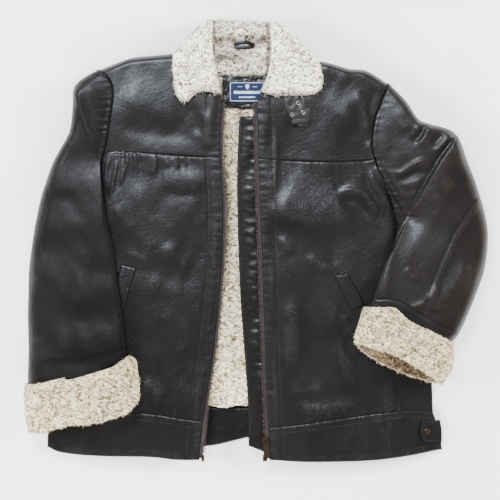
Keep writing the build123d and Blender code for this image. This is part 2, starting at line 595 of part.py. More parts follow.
# ---- every node ------------------------------------------------------------------------------
def nodes():
    made = {
        "back_panel": back_panel(),
        "back_lining": back_lining(),
        "hem_band_back": hem_band_back(),
        "neck_patch": neck_patch(),
        "woven_label": woven_label(),
        "hanger_loop": hanger_loop(),
        "under_collar_back": under_collar_back(),
        "collar_back": collar_back(),
        "right_front_yoke": right_front_yoke(),
        "left_front_yoke": left_front_yoke(),
        "right_front_panel": right_front_panel(),
        "left_front_panel": left_front_panel(),
        "right_front_lining": right_front_lining(),
        "left_front_lining": left_front_lining(),
        "right_hem_band": right_hem_band(),
        "left_hem_band": left_hem_band(),
        "right_pocket_welt": right_pocket_welt(),
        "left_pocket_welt": left_pocket_welt(),
        "right_pocket_bag": pocket_bag(RIGHT_BAG),
        "left_pocket_bag": pocket_bag(LEFT_BAG),
        "wind_strip": wind_strip() + wind_strip_stitching(),
        "zip_slider": zip_slider(),
        "zip_puller": zip_puller(),
        "throat_strap": throat_strap(),
        "strap_keeper": strap_keeper(),
        "hem_tab": hem_tab(),
        "hem_tab_snap": hem_tab_snap(),
    }
    for number, place in enumerate(EYELETS, start=1):
        made[f"strap_eyelet_{number}"] = strap_eyelet(place)
    sides = (
        ("right", RIGHT_CHAIN, RIGHT_FOLD, -1, RIGHT_BAND_Y, RIGHT_LEAF, 0.0),
        ("left", LEFT_CHAIN, LEFT_FOLD, 1, LEFT_BAND_Y, LEFT_LEAF, CHAIN_WIDTH / 2),
    )
    for side, chain, fold, towards, band_y, leaf, reach in sides:
        made[f"{side}_flap_panel"] = flap_panel(chain, fold, towards, band_y)
        made[f"{side}_flap_lining"] = flap_lining(chain, fold, towards, band_y)
        made[f"{side}_flap_hem"] = flap_hem(chain, fold, towards, band_y, HEM_Y)
        made[f"{side}_zip_tape"] = zip_tape(chain, fold, towards)
        made[f"{side}_zip_teeth"] = zip_teeth(chain, towards)
        made[f"{side}_zip_foot"] = zip_foot(chain, towards, CHAIN_WIDTH / 2 + reach)
        made[f"{side}_collar_leaf"] = leaf_pile(leaf)
        made[f"{side}_under_collar"] = leaf_leather(leaf)
    arms = (
        ("right", RIGHT_OUTER, RIGHT_CUFF_EDGE, RIGHT_INNER, RIGHT_SHOULDER, RIGHT_HEAD_R, -1),
        ("left", LEFT_OUTER, LEFT_CUFF_EDGE, LEFT_INNER, LEFT_SHOULDER, LEFT_HEAD_R, 1),
    )
    for side, outer, edge, inner, shoulder, radius, towards in arms:
        lines = (outer, edge, inner, shoulder, radius)
        made[f"{side}_sleeve_top"] = sleeve_top(*lines, towards)
        made[f"{side}_sleeve_under"] = sleeve_under(*lines)
        made[f"{side}_sleeve_lining_top"] = sleeve_lining(*lines, towards, True)
        made[f"{side}_sleeve_lining_under"] = sleeve_lining(*lines, towards, False)
    made["right_sleeve_head"] = sleeve_head(RIGHT_HEAD, RIGHT_ARMHOLE, RIGHT_SHOULDER, RIGHT_HEAD_R, -1)
    made["left_sleeve_head"] = sleeve_head(LEFT_HEAD, LEFT_ARMHOLE, LEFT_SHOULDER, LEFT_HEAD_R, 1)
    made["right_cuff"] = cuff(RIGHT_CUFF_EDGE, RIGHT_CUFF_END, RIGHT_MOUTH)
    made["left_cuff"] = cuff(LEFT_CUFF_EDGE, LEFT_CUFF_END, LEFT_MOUTH)
    return made


os.makedirs("parts", exist_ok=True)
for name, shape in nodes().items():
    export_step(shape, f"parts/{name}.step")
    box = shape.bounding_box()
    print(f"{name:28s} {box.size.X:7.1f} {box.size.Y:7.1f} {box.size.Z:6.1f}  from z {box.min.Z:6.1f}")
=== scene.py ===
# %% [markdown]
# # A pile-lined leather jacket, laid on its back
#
# The jacket is sewn from leather panels, a pile lining that shows at the collar and the cuffs, two halves of
# an open zip and a few small fittings. Each panel is made here as its own sheet, cut to the outline of its
# pattern piece and laid at the level that the solid model gives.
#
# All of it works in metres, in the solid model's frame: +X to the wearer's left, +Y towards the collar and
# +Z up out of the front. Pattern pieces are drawn in millimetres, as a pattern cutter does, and one scale
# factor turns them to metres.

# %% Load the frame
import math
import bmesh
import bpy
import numpy as np
from mathutils import Matrix, Vector
from mathutils.kdtree import KDTree


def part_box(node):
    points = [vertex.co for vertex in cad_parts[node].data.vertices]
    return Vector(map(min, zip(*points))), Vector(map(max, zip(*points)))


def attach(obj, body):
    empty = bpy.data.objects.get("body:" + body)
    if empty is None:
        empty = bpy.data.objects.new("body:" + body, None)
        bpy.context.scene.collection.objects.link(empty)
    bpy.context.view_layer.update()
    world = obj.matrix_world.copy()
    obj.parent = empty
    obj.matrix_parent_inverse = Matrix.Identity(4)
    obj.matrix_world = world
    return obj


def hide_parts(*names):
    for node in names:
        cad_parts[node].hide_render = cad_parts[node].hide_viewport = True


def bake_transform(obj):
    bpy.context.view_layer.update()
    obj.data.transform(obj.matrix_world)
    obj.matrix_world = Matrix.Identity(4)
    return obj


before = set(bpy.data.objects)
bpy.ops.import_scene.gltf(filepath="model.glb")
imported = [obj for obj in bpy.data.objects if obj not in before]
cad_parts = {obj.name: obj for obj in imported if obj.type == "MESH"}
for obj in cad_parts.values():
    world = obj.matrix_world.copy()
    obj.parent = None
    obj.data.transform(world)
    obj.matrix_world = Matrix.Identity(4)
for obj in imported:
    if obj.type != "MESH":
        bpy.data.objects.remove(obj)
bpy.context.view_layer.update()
MM = 0.001

# %% [markdown]
# ## The lines of the pattern
#
# A pattern piece is a patch between four lines. Each line is a few given points, rounded by one
# smooth curve through them. A grid is then stretched over the patch, so that its rows and columns follow the
# piece, which is how leather lies and how seams can meet point for point.

# %% Smooth lines and patches
def smooth_line(points, count):
    """A rounded line through given points, as evenly spaced points along it."""
    p = np.array(points, float)
    ends = np.vstack([2 * p[0] - p[1], p, 2 * p[-1] - p[-2]])
    t = np.linspace(0, 1, 20, endpoint=False)[:, None]
    runs = []
    for a, b, c, d in zip(ends, ends[1:], ends[2:], ends[3:]):
        bend, twist = 2 * a - 5 * b + 4 * c - d, 3 * b - a - 3 * c + d
        runs.append(0.5 * (2 * b + (c - a) * t + bend * t**2 + twist * t**3))
    dense = np.vstack(runs + [p[-1:]])
    far = np.r_[0, np.cumsum(np.linalg.norm(np.diff(dense, axis=0), axis=1))]
    at = np.linspace(0, far[-1], count)
    return np.stack([np.interp(at, far, dense[:, k]) for k in range(p.shape[1])], axis=1)


def patch_points(low, top, right, left, across, along, columns=None):
    """Plan points of a patch, as rows from low to top and columns from the wearer's right (-X) to left (+X)."""
    u = np.linspace(0, 1, across + 1) if columns is None else columns
    v = np.linspace(0, 1, along + 1)
    fine = 400
    def at(line, share):
        dense = smooth_line(line, fine)
        return np.stack([np.interp(share, np.linspace(0, 1, fine), dense[:, k]) for k in (0, 1)], axis=1)
    b, t, r, l = at(low, u), at(top, u), at(right, v), at(left, v)
    u, v = u[None, :, None], v[:, None, None]
    corners = (1 - u) * (1 - v) * b[0] + u * (1 - v) * b[-1] + (1 - u) * v * t[0] + u * v * t[-1]
    return (1 - v) * b[None] + v * t[None] + (1 - u) * r[:, None] + u * l[:, None] - corners


# %% [markdown]
# ## Folds
#
# Worn leather keeps soft folds where it bends and sharp creases where it is sewn. A fold here is a line with
# a height and a width on each side of it: a steep side and a long one look like leather, and the same width
# on both sides looks like a tube. The folds are added up over the points of a panel. Cloth simulation was
# the other way, but its folds fall where they like, and these have to fall where this jacket has them.

# %% Folds, ripples and seams as heights
def beside(x, y, line):
    """Signed distance from a line (plus on its left), and the share of its length passed, for each point."""
    p = smooth_line(line, max(8, 6 * len(line)))
    a, d = p[:-1], np.diff(p, axis=0)
    long = np.linalg.norm(d, axis=1)
    best = np.full(x.shape, np.inf)
    side, share = np.zeros(x.shape), np.zeros(x.shape)
    for i in range(len(a)):
        px, py = x - a[i, 0], y - a[i, 1]
        t = np.clip((px * d[i, 0] + py * d[i, 1]) / long[i] ** 2, 0, 1)
        qx, qy = px - t * d[i, 0], py - t * d[i, 1]
        far = np.hypot(qx, qy)
        near = far < best
        best = np.where(near, far, best)
        side = np.where(near, np.sign(d[i, 0] * py - d[i, 1] * px), side)
        share = np.where(near, (i + t) / len(a), share)
    return best * np.where(side == 0, 1, side), share


def off(x, y, line):
    """The distance part of beside alone."""
    return beside(x, y, line)[0]


def fold(x, y, line, high, left_wide, right_wide, sharp=1.4, fade=0.3):
    """Height of a fold along a line, in mm, over plan points in mm."""
    s, t = beside(x, y, line)
    wide = np.where(s > 0, left_wide, right_wide)
    ends = np.clip(np.minimum(t, 1 - t) / max(fade, 1e-3), 0, 1)
    reach = np.exp(-np.abs(s / wide) ** sharp)
    return high * reach * np.where(fade > 0, ends * ends * (3 - 2 * ends), 1)


def ripple(x, y, size, seed, stretch=1.0, turn=0.0):
    """Even, seeded ripples of about unit height, drawn out along one direction by stretch."""
    rng = np.random.default_rng(seed)
    c, s = math.cos(turn), math.sin(turn)
    p, q = (x * c + y * s) / stretch, -x * s + y * c
    total = 0
    for _ in range(10):
        a, k = rng.uniform(0, 2 * math.pi), 2 * math.pi / size * rng.uniform(0.6, 1.5)
        total = total + np.sin(k * (p * math.cos(a) + q * math.sin(a)) + rng.uniform(0, 2 * math.pi))
    return total / 2.24


def ease(t):
    """0 to 1 with a gentle start and end."""
    t = np.clip(t, 0, 1)
    return t * t * (3 - 2 * t)


# %% [markdown]
# ## From a patch to a piece
#
# A grid from bmesh becomes a panel when each of its points is moved to its place on the patch. The leather
# then gets its thickness from a Solidify modifier, which also rolls a clean edge round the panel.

# %% Making meshes
COLLECTION = bpy.context.scene.collection
MADE = []


def add_mesh(name, mesh, material):
    """A smooth-shaded piece of the scene from a finished mesh."""
    mesh.materials.append(material)
    mesh.polygons.foreach_set("use_smooth", [True] * len(mesh.polygons))
    piece = bpy.data.objects.new(name, mesh)
    COLLECTION.objects.link(piece)
    MADE.append(piece)
    return piece


def add_piece(name, bm, material):
    mesh = bpy.data.meshes.new(name)
    bm.to_mesh(mesh)
    bm.free()
    return add_mesh(name, mesh, material)


def thicken(piece, thick, side=-1):
    """A wall of that many mm behind the surface, or in front of it where side is 1."""
    solid = piece.modifiers.new("thickness", "SOLIDIFY")
    solid.thickness, solid.offset = thick * MM, side
    return piece


def grid_mesh(points, **notes):
    """A bmesh grid whose vertices sit at points (rows by columns by 3, in metres), each with its notes."""
    rows, columns = points.shape[:2]
    bm = bmesh.new()
    bmesh.ops.create_grid(bm, x_segments=columns - 1, y_segments=rows - 1, size=0.5)
    layers = [(bm.verts.layers.float.new(name), values) for name, values in notes.items()]
    for v in bm.verts:
        i = round((v.co.y + 0.5) * (rows - 1))
        j = round((v.co.x + 0.5) * (columns - 1))
        v.co = points[i, j]
        for layer, values in layers:
            v[layer] = values[i, j]
    return bm


def cells(length, size):
    """How many cells of that size fit a length."""
    return max(2, int(round(length / size)))


# %% [markdown]
# ## Stamped shapes
#
# Stitches, zip teeth and tufts of pile are each one small shape repeated many times. The small shape is
# made once with bmesh, then its points are set down at every place, turned to run along the seam or to lie
# with the pile.

# %% Stamping one small shape many times
def small_shape(kind, segments=5):
    """One small shape about 1 long on X: a stitch, a tooth or a tuft."""
    bm = bmesh.new()
    if kind == "tuft":
        bmesh.ops.create_cone(bm, cap_ends=False, segments=segments, radius1=0.22, radius2=0.03, depth=1,
                              matrix=Matrix.Translation((0.5, 0, 0)) @ Matrix.Rotation(math.pi / 2, 4, "Y"))
        longways = [e for e in bm.edges if abs(e.verts[0].co.x - e.verts[1].co.x) > 0.5]
        bmesh.ops.subdivide_edges(bm, edges=longways, cuts=2, use_grid_fill=False)
        for v in bm.verts:
            curl = v.co.x ** 2
            v.co.z += 0.55 * v.co.x - 0.75 * curl
            v.co.y += 0.25 * curl
    elif kind == "stitch":
        bmesh.ops.create_icosphere(bm, subdivisions=1, radius=0.5)
        bmesh.ops.scale(bm, vec=(1, 0.32, 0.3), verts=bm.verts)
    else:
        bmesh.ops.create_cube(bm, size=1)
        bmesh.ops.bevel(bm, geom=bm.edges[:], offset=0.18, segments=1, profile=0.5, affect="EDGES", material=-1)
    bmesh.ops.recalc_face_normals(bm, faces=bm.faces)
    verts = np.array([v.co for v in bm.verts])
    faces = [[v.index for v in f.verts] for f in bm.faces]
    bm.free()
    return verts, faces


def stamp(name, shape, places, forward, up, size, material):
    """One piece with the shape set down at every place (m), its X along forward and its Z near up."""
    verts, faces = shape
    f = forward / np.linalg.norm(forward, axis=1, keepdims=True)
    side = np.cross(up, f)
    side = side / np.maximum(np.linalg.norm(side, axis=1, keepdims=True), 1e-9)
    top = np.cross(f, side)
    turn = np.stack([f, side, top], axis=2)
    size = np.broadcast_to(size, (len(places), 3))
    local = verts[None] * size[:, None]
    co = np.einsum("nij,nvj->nvi", turn, local) + places[:, None]
    offset = np.arange(len(places)) * len(verts)
    all_faces = [[int(k + i) for i in face] for k in offset for face in faces]
    mesh = bpy.data.meshes.new(name)
    mesh.from_pydata(co.reshape(-1, 3), [], all_faces)
    return add_mesh(name, mesh, material)


UP = [0.0, 0.0, 1.0]
STITCH = small_shape("stitch")
TOOTH = small_shape("tooth")
TUFT = small_shape("tuft")


def stitch_line(line, height, pitch, lift):
    """Places and directions of stitches along a plan line (mm), resting on height(x, y)."""
    long = np.linalg.norm(np.diff(smooth_line(line, 60), axis=0), axis=1).sum()
    p = smooth_line(line, cells(long, pitch) + 1)
    z = height(p[:, 0], p[:, 1]) + lift
    p = np.column_stack([p, z]) * MM
    mid, way = (p[1:] + p[:-1]) / 2, np.diff(p, axis=0)
    return mid, way


def stitching(name, lines, height, size, pitch, lift):
    """One piece with a stitch of that size (mm) at every pitch of each line."""
    found = [stitch_line(line, height, pitch, lift) for line in lines]
    mid, way = np.vstack([f[0] for f in found]), np.vstack([f[1] for f in found])
    return stamp(name, STITCH, mid, way, np.tile(UP, (len(mid), 1)), np.array(size) * MM, THREAD)


# %% [markdown]
# ## Closed shapes
#
# A sleeve lying flat is a tube: a top layer, a rounded side, an under layer and a second rounded side. A
# padded collar leaf is the same tube with its ends drawn shut. Both come from one grid that is wrapped round
# the patch, over the top and back underneath, and welded where it meets itself.

# %% Wrapped grids
def crowded(count):
    """Shares from 0 to 1 that lie closer together near both ends, where the surface turns."""
    t = np.linspace(0, 1, count + 1)
    return 0.35 * t + 0.65 * (0.5 - 0.5 * np.cos(np.pi * t))


def rims(plan):
    """For every point of a patch, its distance to the nearer side and to the nearer end, in mm."""
    def both_ways(p):
        far = np.cumsum(np.linalg.norm(np.diff(p, axis=1), axis=2), axis=1)
        far = np.concatenate([np.zeros((p.shape[0], 1)), far], axis=1)
        return np.minimum(far, far[:, -1:] - far)
    return both_ways(plan), both_ways(plan.transpose(1, 0, 2)).T


def rounded(distance, radius):
    """0 at an edge, rising to 1 as a quarter circle of that radius."""
    t = np.clip(distance / radius, 0, 1)
    return np.sqrt(1 - (1 - t) ** 2)


def raised(plan, z):
    """Plan points and their heights, in mm, as points in metres."""
    return np.concatenate([plan, z[..., None]], axis=2) * MM


def around(over, under=None):
    """Rows that go across the top, back underneath and meet their own start."""
    back = (over if under is None else under)[:, ::-1]
    return np.concatenate([over, back[:, 1:-1], over[:, :1]], axis=1)


def wrapped(plan, top, bottom, below=None):
    """Points in metres, going over the top of a patch and back underneath it, or below another patch."""
    return around(raised(plan, top), raised(plan if below is None else below, bottom))


def rim(plan):
    """Distance to the nearest edge, in mm."""
    return np.minimum(*rims(plan))


def weld(bm, near=1e-5):
    bmesh.ops.remove_doubles(bm, verts=bm.verts, dist=near)
    bmesh.ops.dissolve_degenerate(bm, edges=bm.edges, dist=1e-6)
    bmesh.ops.recalc_face_normals(bm, faces=bm.faces)
    return bm


def lumps(x, y, size, seed=0):
    """Rounded lumps about size mm apart: 1 on the middle of each and 0 in the cracks between them."""
    i, j = np.floor(x / size), np.floor(y / size)
    best = np.full(np.shape(x), np.inf)
    for di in (-1, 0, 1):
        for dj in (-1, 0, 1):
            a, b = i + di, j + dj
            n = np.sin(a * 127.1 + b * 311.7 + seed) * 43758.5453
            m = np.sin(a * 269.5 + b * 183.3 + seed) * 43758.5453
            cx, cy = (a + n - np.floor(n)) * size, (b + m - np.floor(m)) * size
            best = np.minimum(best, np.hypot(x - cx, y - cy))
    return np.clip(1 - best / (0.72 * size), 0, 1)


def note(piece, name, values):
    """Keeps a number on every vertex, for the material to read."""
    attribute = piece.data.attributes.new(name, "FLOAT", "POINT")
    attribute.data.foreach_set("value", np.ascontiguousarray(values, np.float32))


# %% [markdown]
# ## Materials
#
# The outer leather is a dark brown, nearly black sheepskin nappa with a worn wax finish: a fine pebbled
# grain, longer soft creases, and a duller, browner surface where it has rubbed. The pile is cream wool, with
# painted shade between its locks and strands and towards the roots. Colours are given as sRGB hex, because that
# is how swatches are written.

# %% Material helpers
def colour(code):
    """An sRGB hex colour as the linear RGBA that Blender works in."""
    parts = [int(code[i:i + 2], 16) / 255 for i in (1, 3, 5)]
    return tuple(c / 12.92 if c <= 0.04045 else ((c + 0.055) / 1.055) ** 2.4 for c in parts) + (1.0,)


class Shader:
    """A material whose nodes are added one call at a time."""

    def __init__(self, name):
        self.material = bpy.data.materials.new(name)
        self.material.use_nodes = True
        self.tree = self.material.node_tree
        self.surface = self.tree.nodes["Principled BSDF"]
        self.where = self.node("ShaderNodeTexCoord").outputs["Object"]

    def node(self, kind, inputs=None, **settings):
        """Adds a node with its settings; an input that is a socket is linked, and any other is a value."""
        node = self.tree.nodes.new(kind)
        for key, value in settings.items():
            setattr(node, key, value)
        for key, value in (inputs or {}).items():
            self.put(node.inputs[key], value)
        return node

    def put(self, socket, value):
        if isinstance(value, bpy.types.NodeSocket):
            self.tree.links.new(value, socket)
        else:
            socket.default_value = value

    def noise(self, size_mm, detail=3.0, roughness=0.55, where=None, stretch=None):
        where = self.where if where is None else where
        if stretch:
            where = self.node("ShaderNodeMapping", {"Vector": where, "Scale": stretch}).outputs[0]
        inputs = {"Vector": where, "Scale": 1000 / size_mm, "Detail": detail, "Roughness": roughness}
        return self.node("ShaderNodeTexNoise", inputs).outputs["Fac"]

    def cells(self, size_mm, feature="F1", where=None):
        inputs = {"Vector": self.where if where is None else where, "Scale": 1000 / size_mm}
        return self.node("ShaderNodeTexVoronoi", inputs, feature=feature).outputs["Distance"]

    def swayed(self, scale, share):
        """The place on the piece, pushed about a little by a soft noise."""
        sway = self.node("ShaderNodeTexNoise", {"Vector": self.where, "Scale": scale}).outputs["Color"]
        return self.node("ShaderNodeMix", {0: share, 4: self.where, 5: sway}, data_type="VECTOR").outputs[1]

    def attribute(self, name):
        return self.node("ShaderNodeAttribute", attribute_name=name).outputs["Fac"]

    def spread(self, value, low, high, to_low=0.0, to_high=1.0):
        return self.node("ShaderNodeMapRange", {"Value": value, "From Min": low, "From Max": high,
                                                "To Min": to_low, "To Max": to_high}).outputs["Result"]

    def maths(self, operation, a, b):
        return self.node("ShaderNodeMath", {0: a, 1: b}, operation=operation).outputs[0]

    def mix(self, share, a, b):
        node = self.node("ShaderNodeMix", data_type="RGBA")
        for socket, value in zip((node.inputs[0], node.inputs[6], node.inputs[7]), (share, a, b)):
            self.put(socket, value)
        return node.outputs[2]

    def bump(self, height, deep_mm, strength=1.0, under=None):
        inputs = {"Height": height, "Strength": strength, "Distance": deep_mm * MM}
        if under is not None:
            inputs["Normal"] = under
        return self.node("ShaderNodeBump", inputs).outputs[0]

    def set(self, **inputs):
        for key, value in inputs.items():
            self.put(self.surface.inputs[key.replace("_", " ")], value)
        return self.material


# %% Leather
def leather(name, base, worn, dull=0.0, grain=1.0, wax=0.45):
    """Nappa: pebbled grain 1 mm across, creases 8 mm apart, rubbed lighter on its folds."""
    s = Shader(name)
    broad, fine = s.noise(90, 3), s.noise(5, 4, 0.6)
    rubbed = s.maths("MULTIPLY", s.spread(s.attribute("crease"), 0.3, 1.0), s.spread(fine, 0.35, 0.65))
    tone = s.mix(s.spread(broad, 0.3, 0.8, 0.0, 0.22), colour(base), colour(worn))
    tone = s.mix(s.maths("MULTIPLY", rubbed, 0.35), tone, colour(worn))
    swayed = s.swayed(60.0, 0.015)
    lines = s.spread(s.cells(7.0, "DISTANCE_TO_EDGE", swayed), 0.0, 0.08)
    under = s.bump(s.noise(26, 3, 0.5), 0.4, 0.12)
    under = s.bump(lines, 0.3, 0.3 * grain, under)
    under = s.bump(s.noise(3.6, 3, 0.6, swayed, (1.0, 0.6, 1.0)), 0.4, 0.5 * grain, under)
    normal = s.bump(s.cells(1.15), 0.16, 0.4 * grain, under)
    rough = s.spread(s.maths("ADD", fine, s.maths("MULTIPLY", rubbed, 0.2)), 0.3, 0.8, 0.31 + dull, 0.45 + dull)
    return s.set(Base_Color=tone, Roughness=rough, Normal=normal, Specular_IOR_Level=wax,
                 Specular_Tint=colour("#ecf0f2"), Coat_Weight=0.05, Coat_Roughness=0.2)


# %% Wool pile
def pile(name, tip, root_shade, band=None):
    """Curly wool: strands side by side in locks, each lock turned its own way, with painted shade between the
    strands and towards the roots.
    """
    s = Shader(name)
    depth = s.attribute("depth")
    swirled = s.swayed(70.0, 0.012)
    lock = s.node("ShaderNodeTexVoronoi", {"Vector": swirled, "Scale": 1000 / 11.0})
    turned = s.node("ShaderNodeVectorRotate", {"Vector": swirled, "Center": lock.outputs["Position"],
                                               "Angle": s.maths("MULTIPLY", lock.outputs["Color"], 3.0)},
                    rotation_type="Z_AXIS").outputs[0]
    strands = s.noise(3.0, 2, 0.5, turned, (1.0, 0.24, 0.6))
    fine = s.noise(1.9, 2, 0.6, turned, (1.0, 0.3, 0.6))
    light = s.maths("ADD", s.maths("MULTIPLY", s.spread(strands, 0.4, 0.6), 0.75),
                    s.maths("MULTIPLY", fine, 0.3))
    # Painted shade: wool lower in the relief, nearer the roots, is painted darker, and the root colour stands for
    # the shade between strands.
    light = s.maths("ADD", light, s.maths("MULTIPLY", depth, 0.25))
    tone = s.mix(s.spread(light, 0.25, 0.95), colour(root_shade), colour(tip))
    tone = s.mix(s.spread(s.noise(30, 3), 0.5, 0.8, 0.0, 0.22), tone, s.mix(0.5, colour(root_shade), colour(tip)))
    # Painted shade: where the attribute read here is high, the wool is mixed towards the band colour, a dark tan
    # that stands for shade in folds, along the roll lines and inside the cuffs.
    if band:
        tone = s.mix(s.attribute("tan"), tone,
                     s.mix(s.spread(light, 0.3, 1.1, 0.0, 0.2), colour(band), colour(tip)))
    normal = s.bump(s.maths("ADD", s.spread(strands, 0.3, 0.65), s.maths("MULTIPLY", fine, 0.5)), 1.5, 0.75)
    return s.set(Base_Color=tone, Roughness=0.92, Normal=normal, Specular_IOR_Level=0.1, Sheen_Weight=0.15,
                 Sheen_Roughness=0.6)


# %% Cloth, brass and thread
def woven(name, base, other, pitch=0.5):
    """A ribbed weave, with its ribs one pitch apart in both directions."""
    s = Shader(name)
    rib = {"Vector": s.where, "Scale": 50 / pitch, "Distortion": 0.4}
    waves = [s.node("ShaderNodeTexWave", rib, bands_direction=axis).outputs["Fac"] for axis in "XY"]
    weave = s.maths("MULTIPLY", *waves)
    tone = s.mix(s.spread(s.noise(7, 4), 0.3, 0.7), colour(base), colour(other))
    return s.set(Base_Color=tone, Roughness=0.85, Normal=s.bump(weave, 0.2, 0.6), Sheen_Weight=0.15)


def metal(name, base, tarnish):
    """Plated brass, tarnished in its hollows."""
    s = Shader(name)
    stain = s.spread(s.noise(3, 4), 0.35, 0.7)
    return s.set(Base_Color=s.mix(stain, colour(base), colour(tarnish)), Metallic=0.9,
                 Roughness=s.spread(stain, 0, 1, 0.3, 0.55), Normal=s.bump(s.noise(0.8), 0.1, 0.3))


BODY_LEATHER = leather("nappa_leather_dark_brown", "#0e0d0d", "#282423")
SLEEVE_LEATHER = leather("nappa_leather_sleeve_brown", "#100e0d", "#2b2522", dull=0.06)
# The wearer's right sleeve gets its own copy of the sleeve leather, darker and less glossy: its darker colour is
# painted shade.
SHADED_SLEEVE = leather("nappa_leather_sleeve_shaded", "#0d0b0b", "#252120", dull=0.09, wax=0.27)
FACING = leather("nappa_leather_facing_black", "#0e0d0c", "#26231f", dull=-0.04)
EDGE_LEATHER = leather("nappa_leather_worn_edge", "#261b16", "#5a4334", dull=0.08)
PILE_BODY = pile("wool_pile_cream", "#fff2d0", "#665228")
# The last colour of the collar and cuff pile is the band colour of painted shade.
PILE_COLLAR = pile("wool_pile_collar", "#fffbea", "#5a4b2e", "#3c220a")
PILE_CUFF = pile("wool_pile_cuff", "#d6c8a4", "#5a4a25", "#4a2e12")
TAPE = woven("zip_tape_brown", "#332a29", "#252020", 0.6)
TEETH_METAL = metal("zip_teeth_brown", "#6a5a57", "#3b3231")
POCKETING = woven("pocketing_cotton_black", "#27262a", "#1d1c20", 0.6)
LABEL = woven("label_weave_navy", "#1a2748", "#15203b", 0.4)
BORDER = woven("label_weave_silver", "#c3c9d2", "#a2a9b4", 0.4)
BRASS = metal("antique_brass", "#6f5a45", "#2c231c")
NICKEL = metal("antique_nickel", "#b9b7b0", "#6a675f")
THREAD = woven("thread_dark_brown", "#2e2622", "#201a18", 0.4)
STRAP_LEATHER = leather("nappa_leather_strap_brown", "#1c1a19", "#393532", dull=0.14)
print(len(bpy.data.materials), "materials")

# %% [markdown]
# ## Camera, light and floor
#
# The jacket lies on a pale floor and is seen from straight above, from about two metres, with its collar at
# the top of the view. A soft window light beyond the collar draws the cool sheen along the folds. Three low
# lights, from the sides and the hem, brighten the wool and the floor; they are hidden from glossy rays, so
# that the waxed leather does not mirror them as bright rims.

# %% Camera, light and floor
def look_from(place, target, piece):
    piece.location = place
    piece.rotation_euler = (Vector(target) - Vector(place)).to_track_quat("-Z", "Y").to_euler()


camera = bpy.data.objects.new("camera", bpy.data.cameras.new("camera"))
COLLECTION.objects.link(camera)
camera.location = (-0.0114, -0.0184, 2.2)
camera.data.lens = 89.3
camera.data.sensor_width = 36
bpy.context.scene.camera = camera


def area_light(name, place, target, size, power, tint, mirrored=True):
    light = bpy.data.lights.new(name, "AREA")
    light.shape, light.size, light.size_y = "RECTANGLE", size[0], size[1]
    light.energy, light.color = power, colour(tint)[:3]
    holder = bpy.data.objects.new(name, light)
    COLLECTION.objects.link(holder)
    look_from(place, target, holder)
    holder.visible_glossy = mirrored


area_light("window", (-0.5, 1.32, 1.85), (0.0, 0.0, 0.0), (1.0, 0.5), 74, "#eff4ff")
area_light("fill", (2.2, 0.6, 1.1), (0.0, 0.0, 0.0), (1.2, 0.8), 190, "#fffcf6", False)
area_light("side", (-2.3, -0.1, 1.1), (0.0, 0.0, 0.0), (1.2, 0.8), 190, "#fbfcff", False)
area_light("low_rim", (-0.3, -2.0, 1.1), (0.0, 0.0, 0.0), (1.8, 0.6), 120, "#fbfcff", False)

world = bpy.data.worlds.new("studio")
bpy.context.scene.world = world
world.use_nodes = True
world.node_tree.nodes["Background"].inputs[0].default_value = colour("#f4f5f8")
world.node_tree.nodes["Background"].inputs[1].default_value = 0.3

floor_bm = bmesh.new()
bmesh.ops.create_grid(floor_bm, x_segments=2, y_segments=2, size=3.0)
paint = Shader("floor_paint_white")
paint.set(Base_Color=paint.mix(paint.spread(paint.noise(400), 0.3, 0.7), colour("#fbfbfa"), colour("#f6f6f4")),
          Roughness=0.9)
floor = add_piece("floor", floor_bm, paint.material)
MADE.remove(floor)
floor.location.z = -0.0005

# %% [markdown]
# ## How high everything lies
#
# The jacket is flat on its back. The front leather lies about 31 mm above the floor over two layers of pile,
# and falls to the side seams. The sleeves and cuffs lie on top of the body and run down to the floor outside
# it. The levels come from the solid model's own boxes.

# %% Levels
def level(node, corner):
    """A level of a solid in mm: corner 0 is its lowest and 1 its highest."""
    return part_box(node)[corner].z / MM


FRONT = level("right_flap_panel", 1)
BACK_PILE = level("back_lining", 1)
TOOTH_LOW, TOOTH_HIGH = level("left_zip_teeth", 0), level("left_zip_teeth", 1)
HEAD = level("right_sleeve_head", 1)
print(f"front {FRONT:.1f} mm, back pile {BACK_PILE:.1f} mm, sleeve head {HEAD:.1f} mm")


def across(x, places, soft=10.0):
    """A height that changes from side to side, through (x, z) places, with its corners rounded."""
    px, pz = zip(*places)
    return sum(np.interp(x + d * soft, px, pz) for d in (-1, -0.5, 0, 0.5, 1)) / 5


BODY = [(-370, 4), (-350, 6), (-338, 11), (-300, 22.5), (-258, FRONT), (228, FRONT), (258, 22.5), (284, 11),
        (298, 5.5), (314, 4)]
HEM = [(-370, 8.3), (-352, 9), (-338, 13), (-300, 22.5), (-258, FRONT), (228, FRONT), (262, 22.5), (298, 13),
       (312, 9), (330, 8.3)]


def body_height(x, y):
    """Level of the front leather before its folds."""
    low = ease((-290 - y) / 30)
    return (1 - low) * across(x, BODY) + low * across(x, HEM)


# %% [markdown]
# ## Folds of the two fronts
#
# Each front hangs from its yoke seam. The seam is gathered, so short ridges run down from it, and the
# leather below bulges over the chest and hangs slack towards the hem. The same field lifts the yoke, the
# front, the hem band and the pieces on them, so that they stay together at their seams.

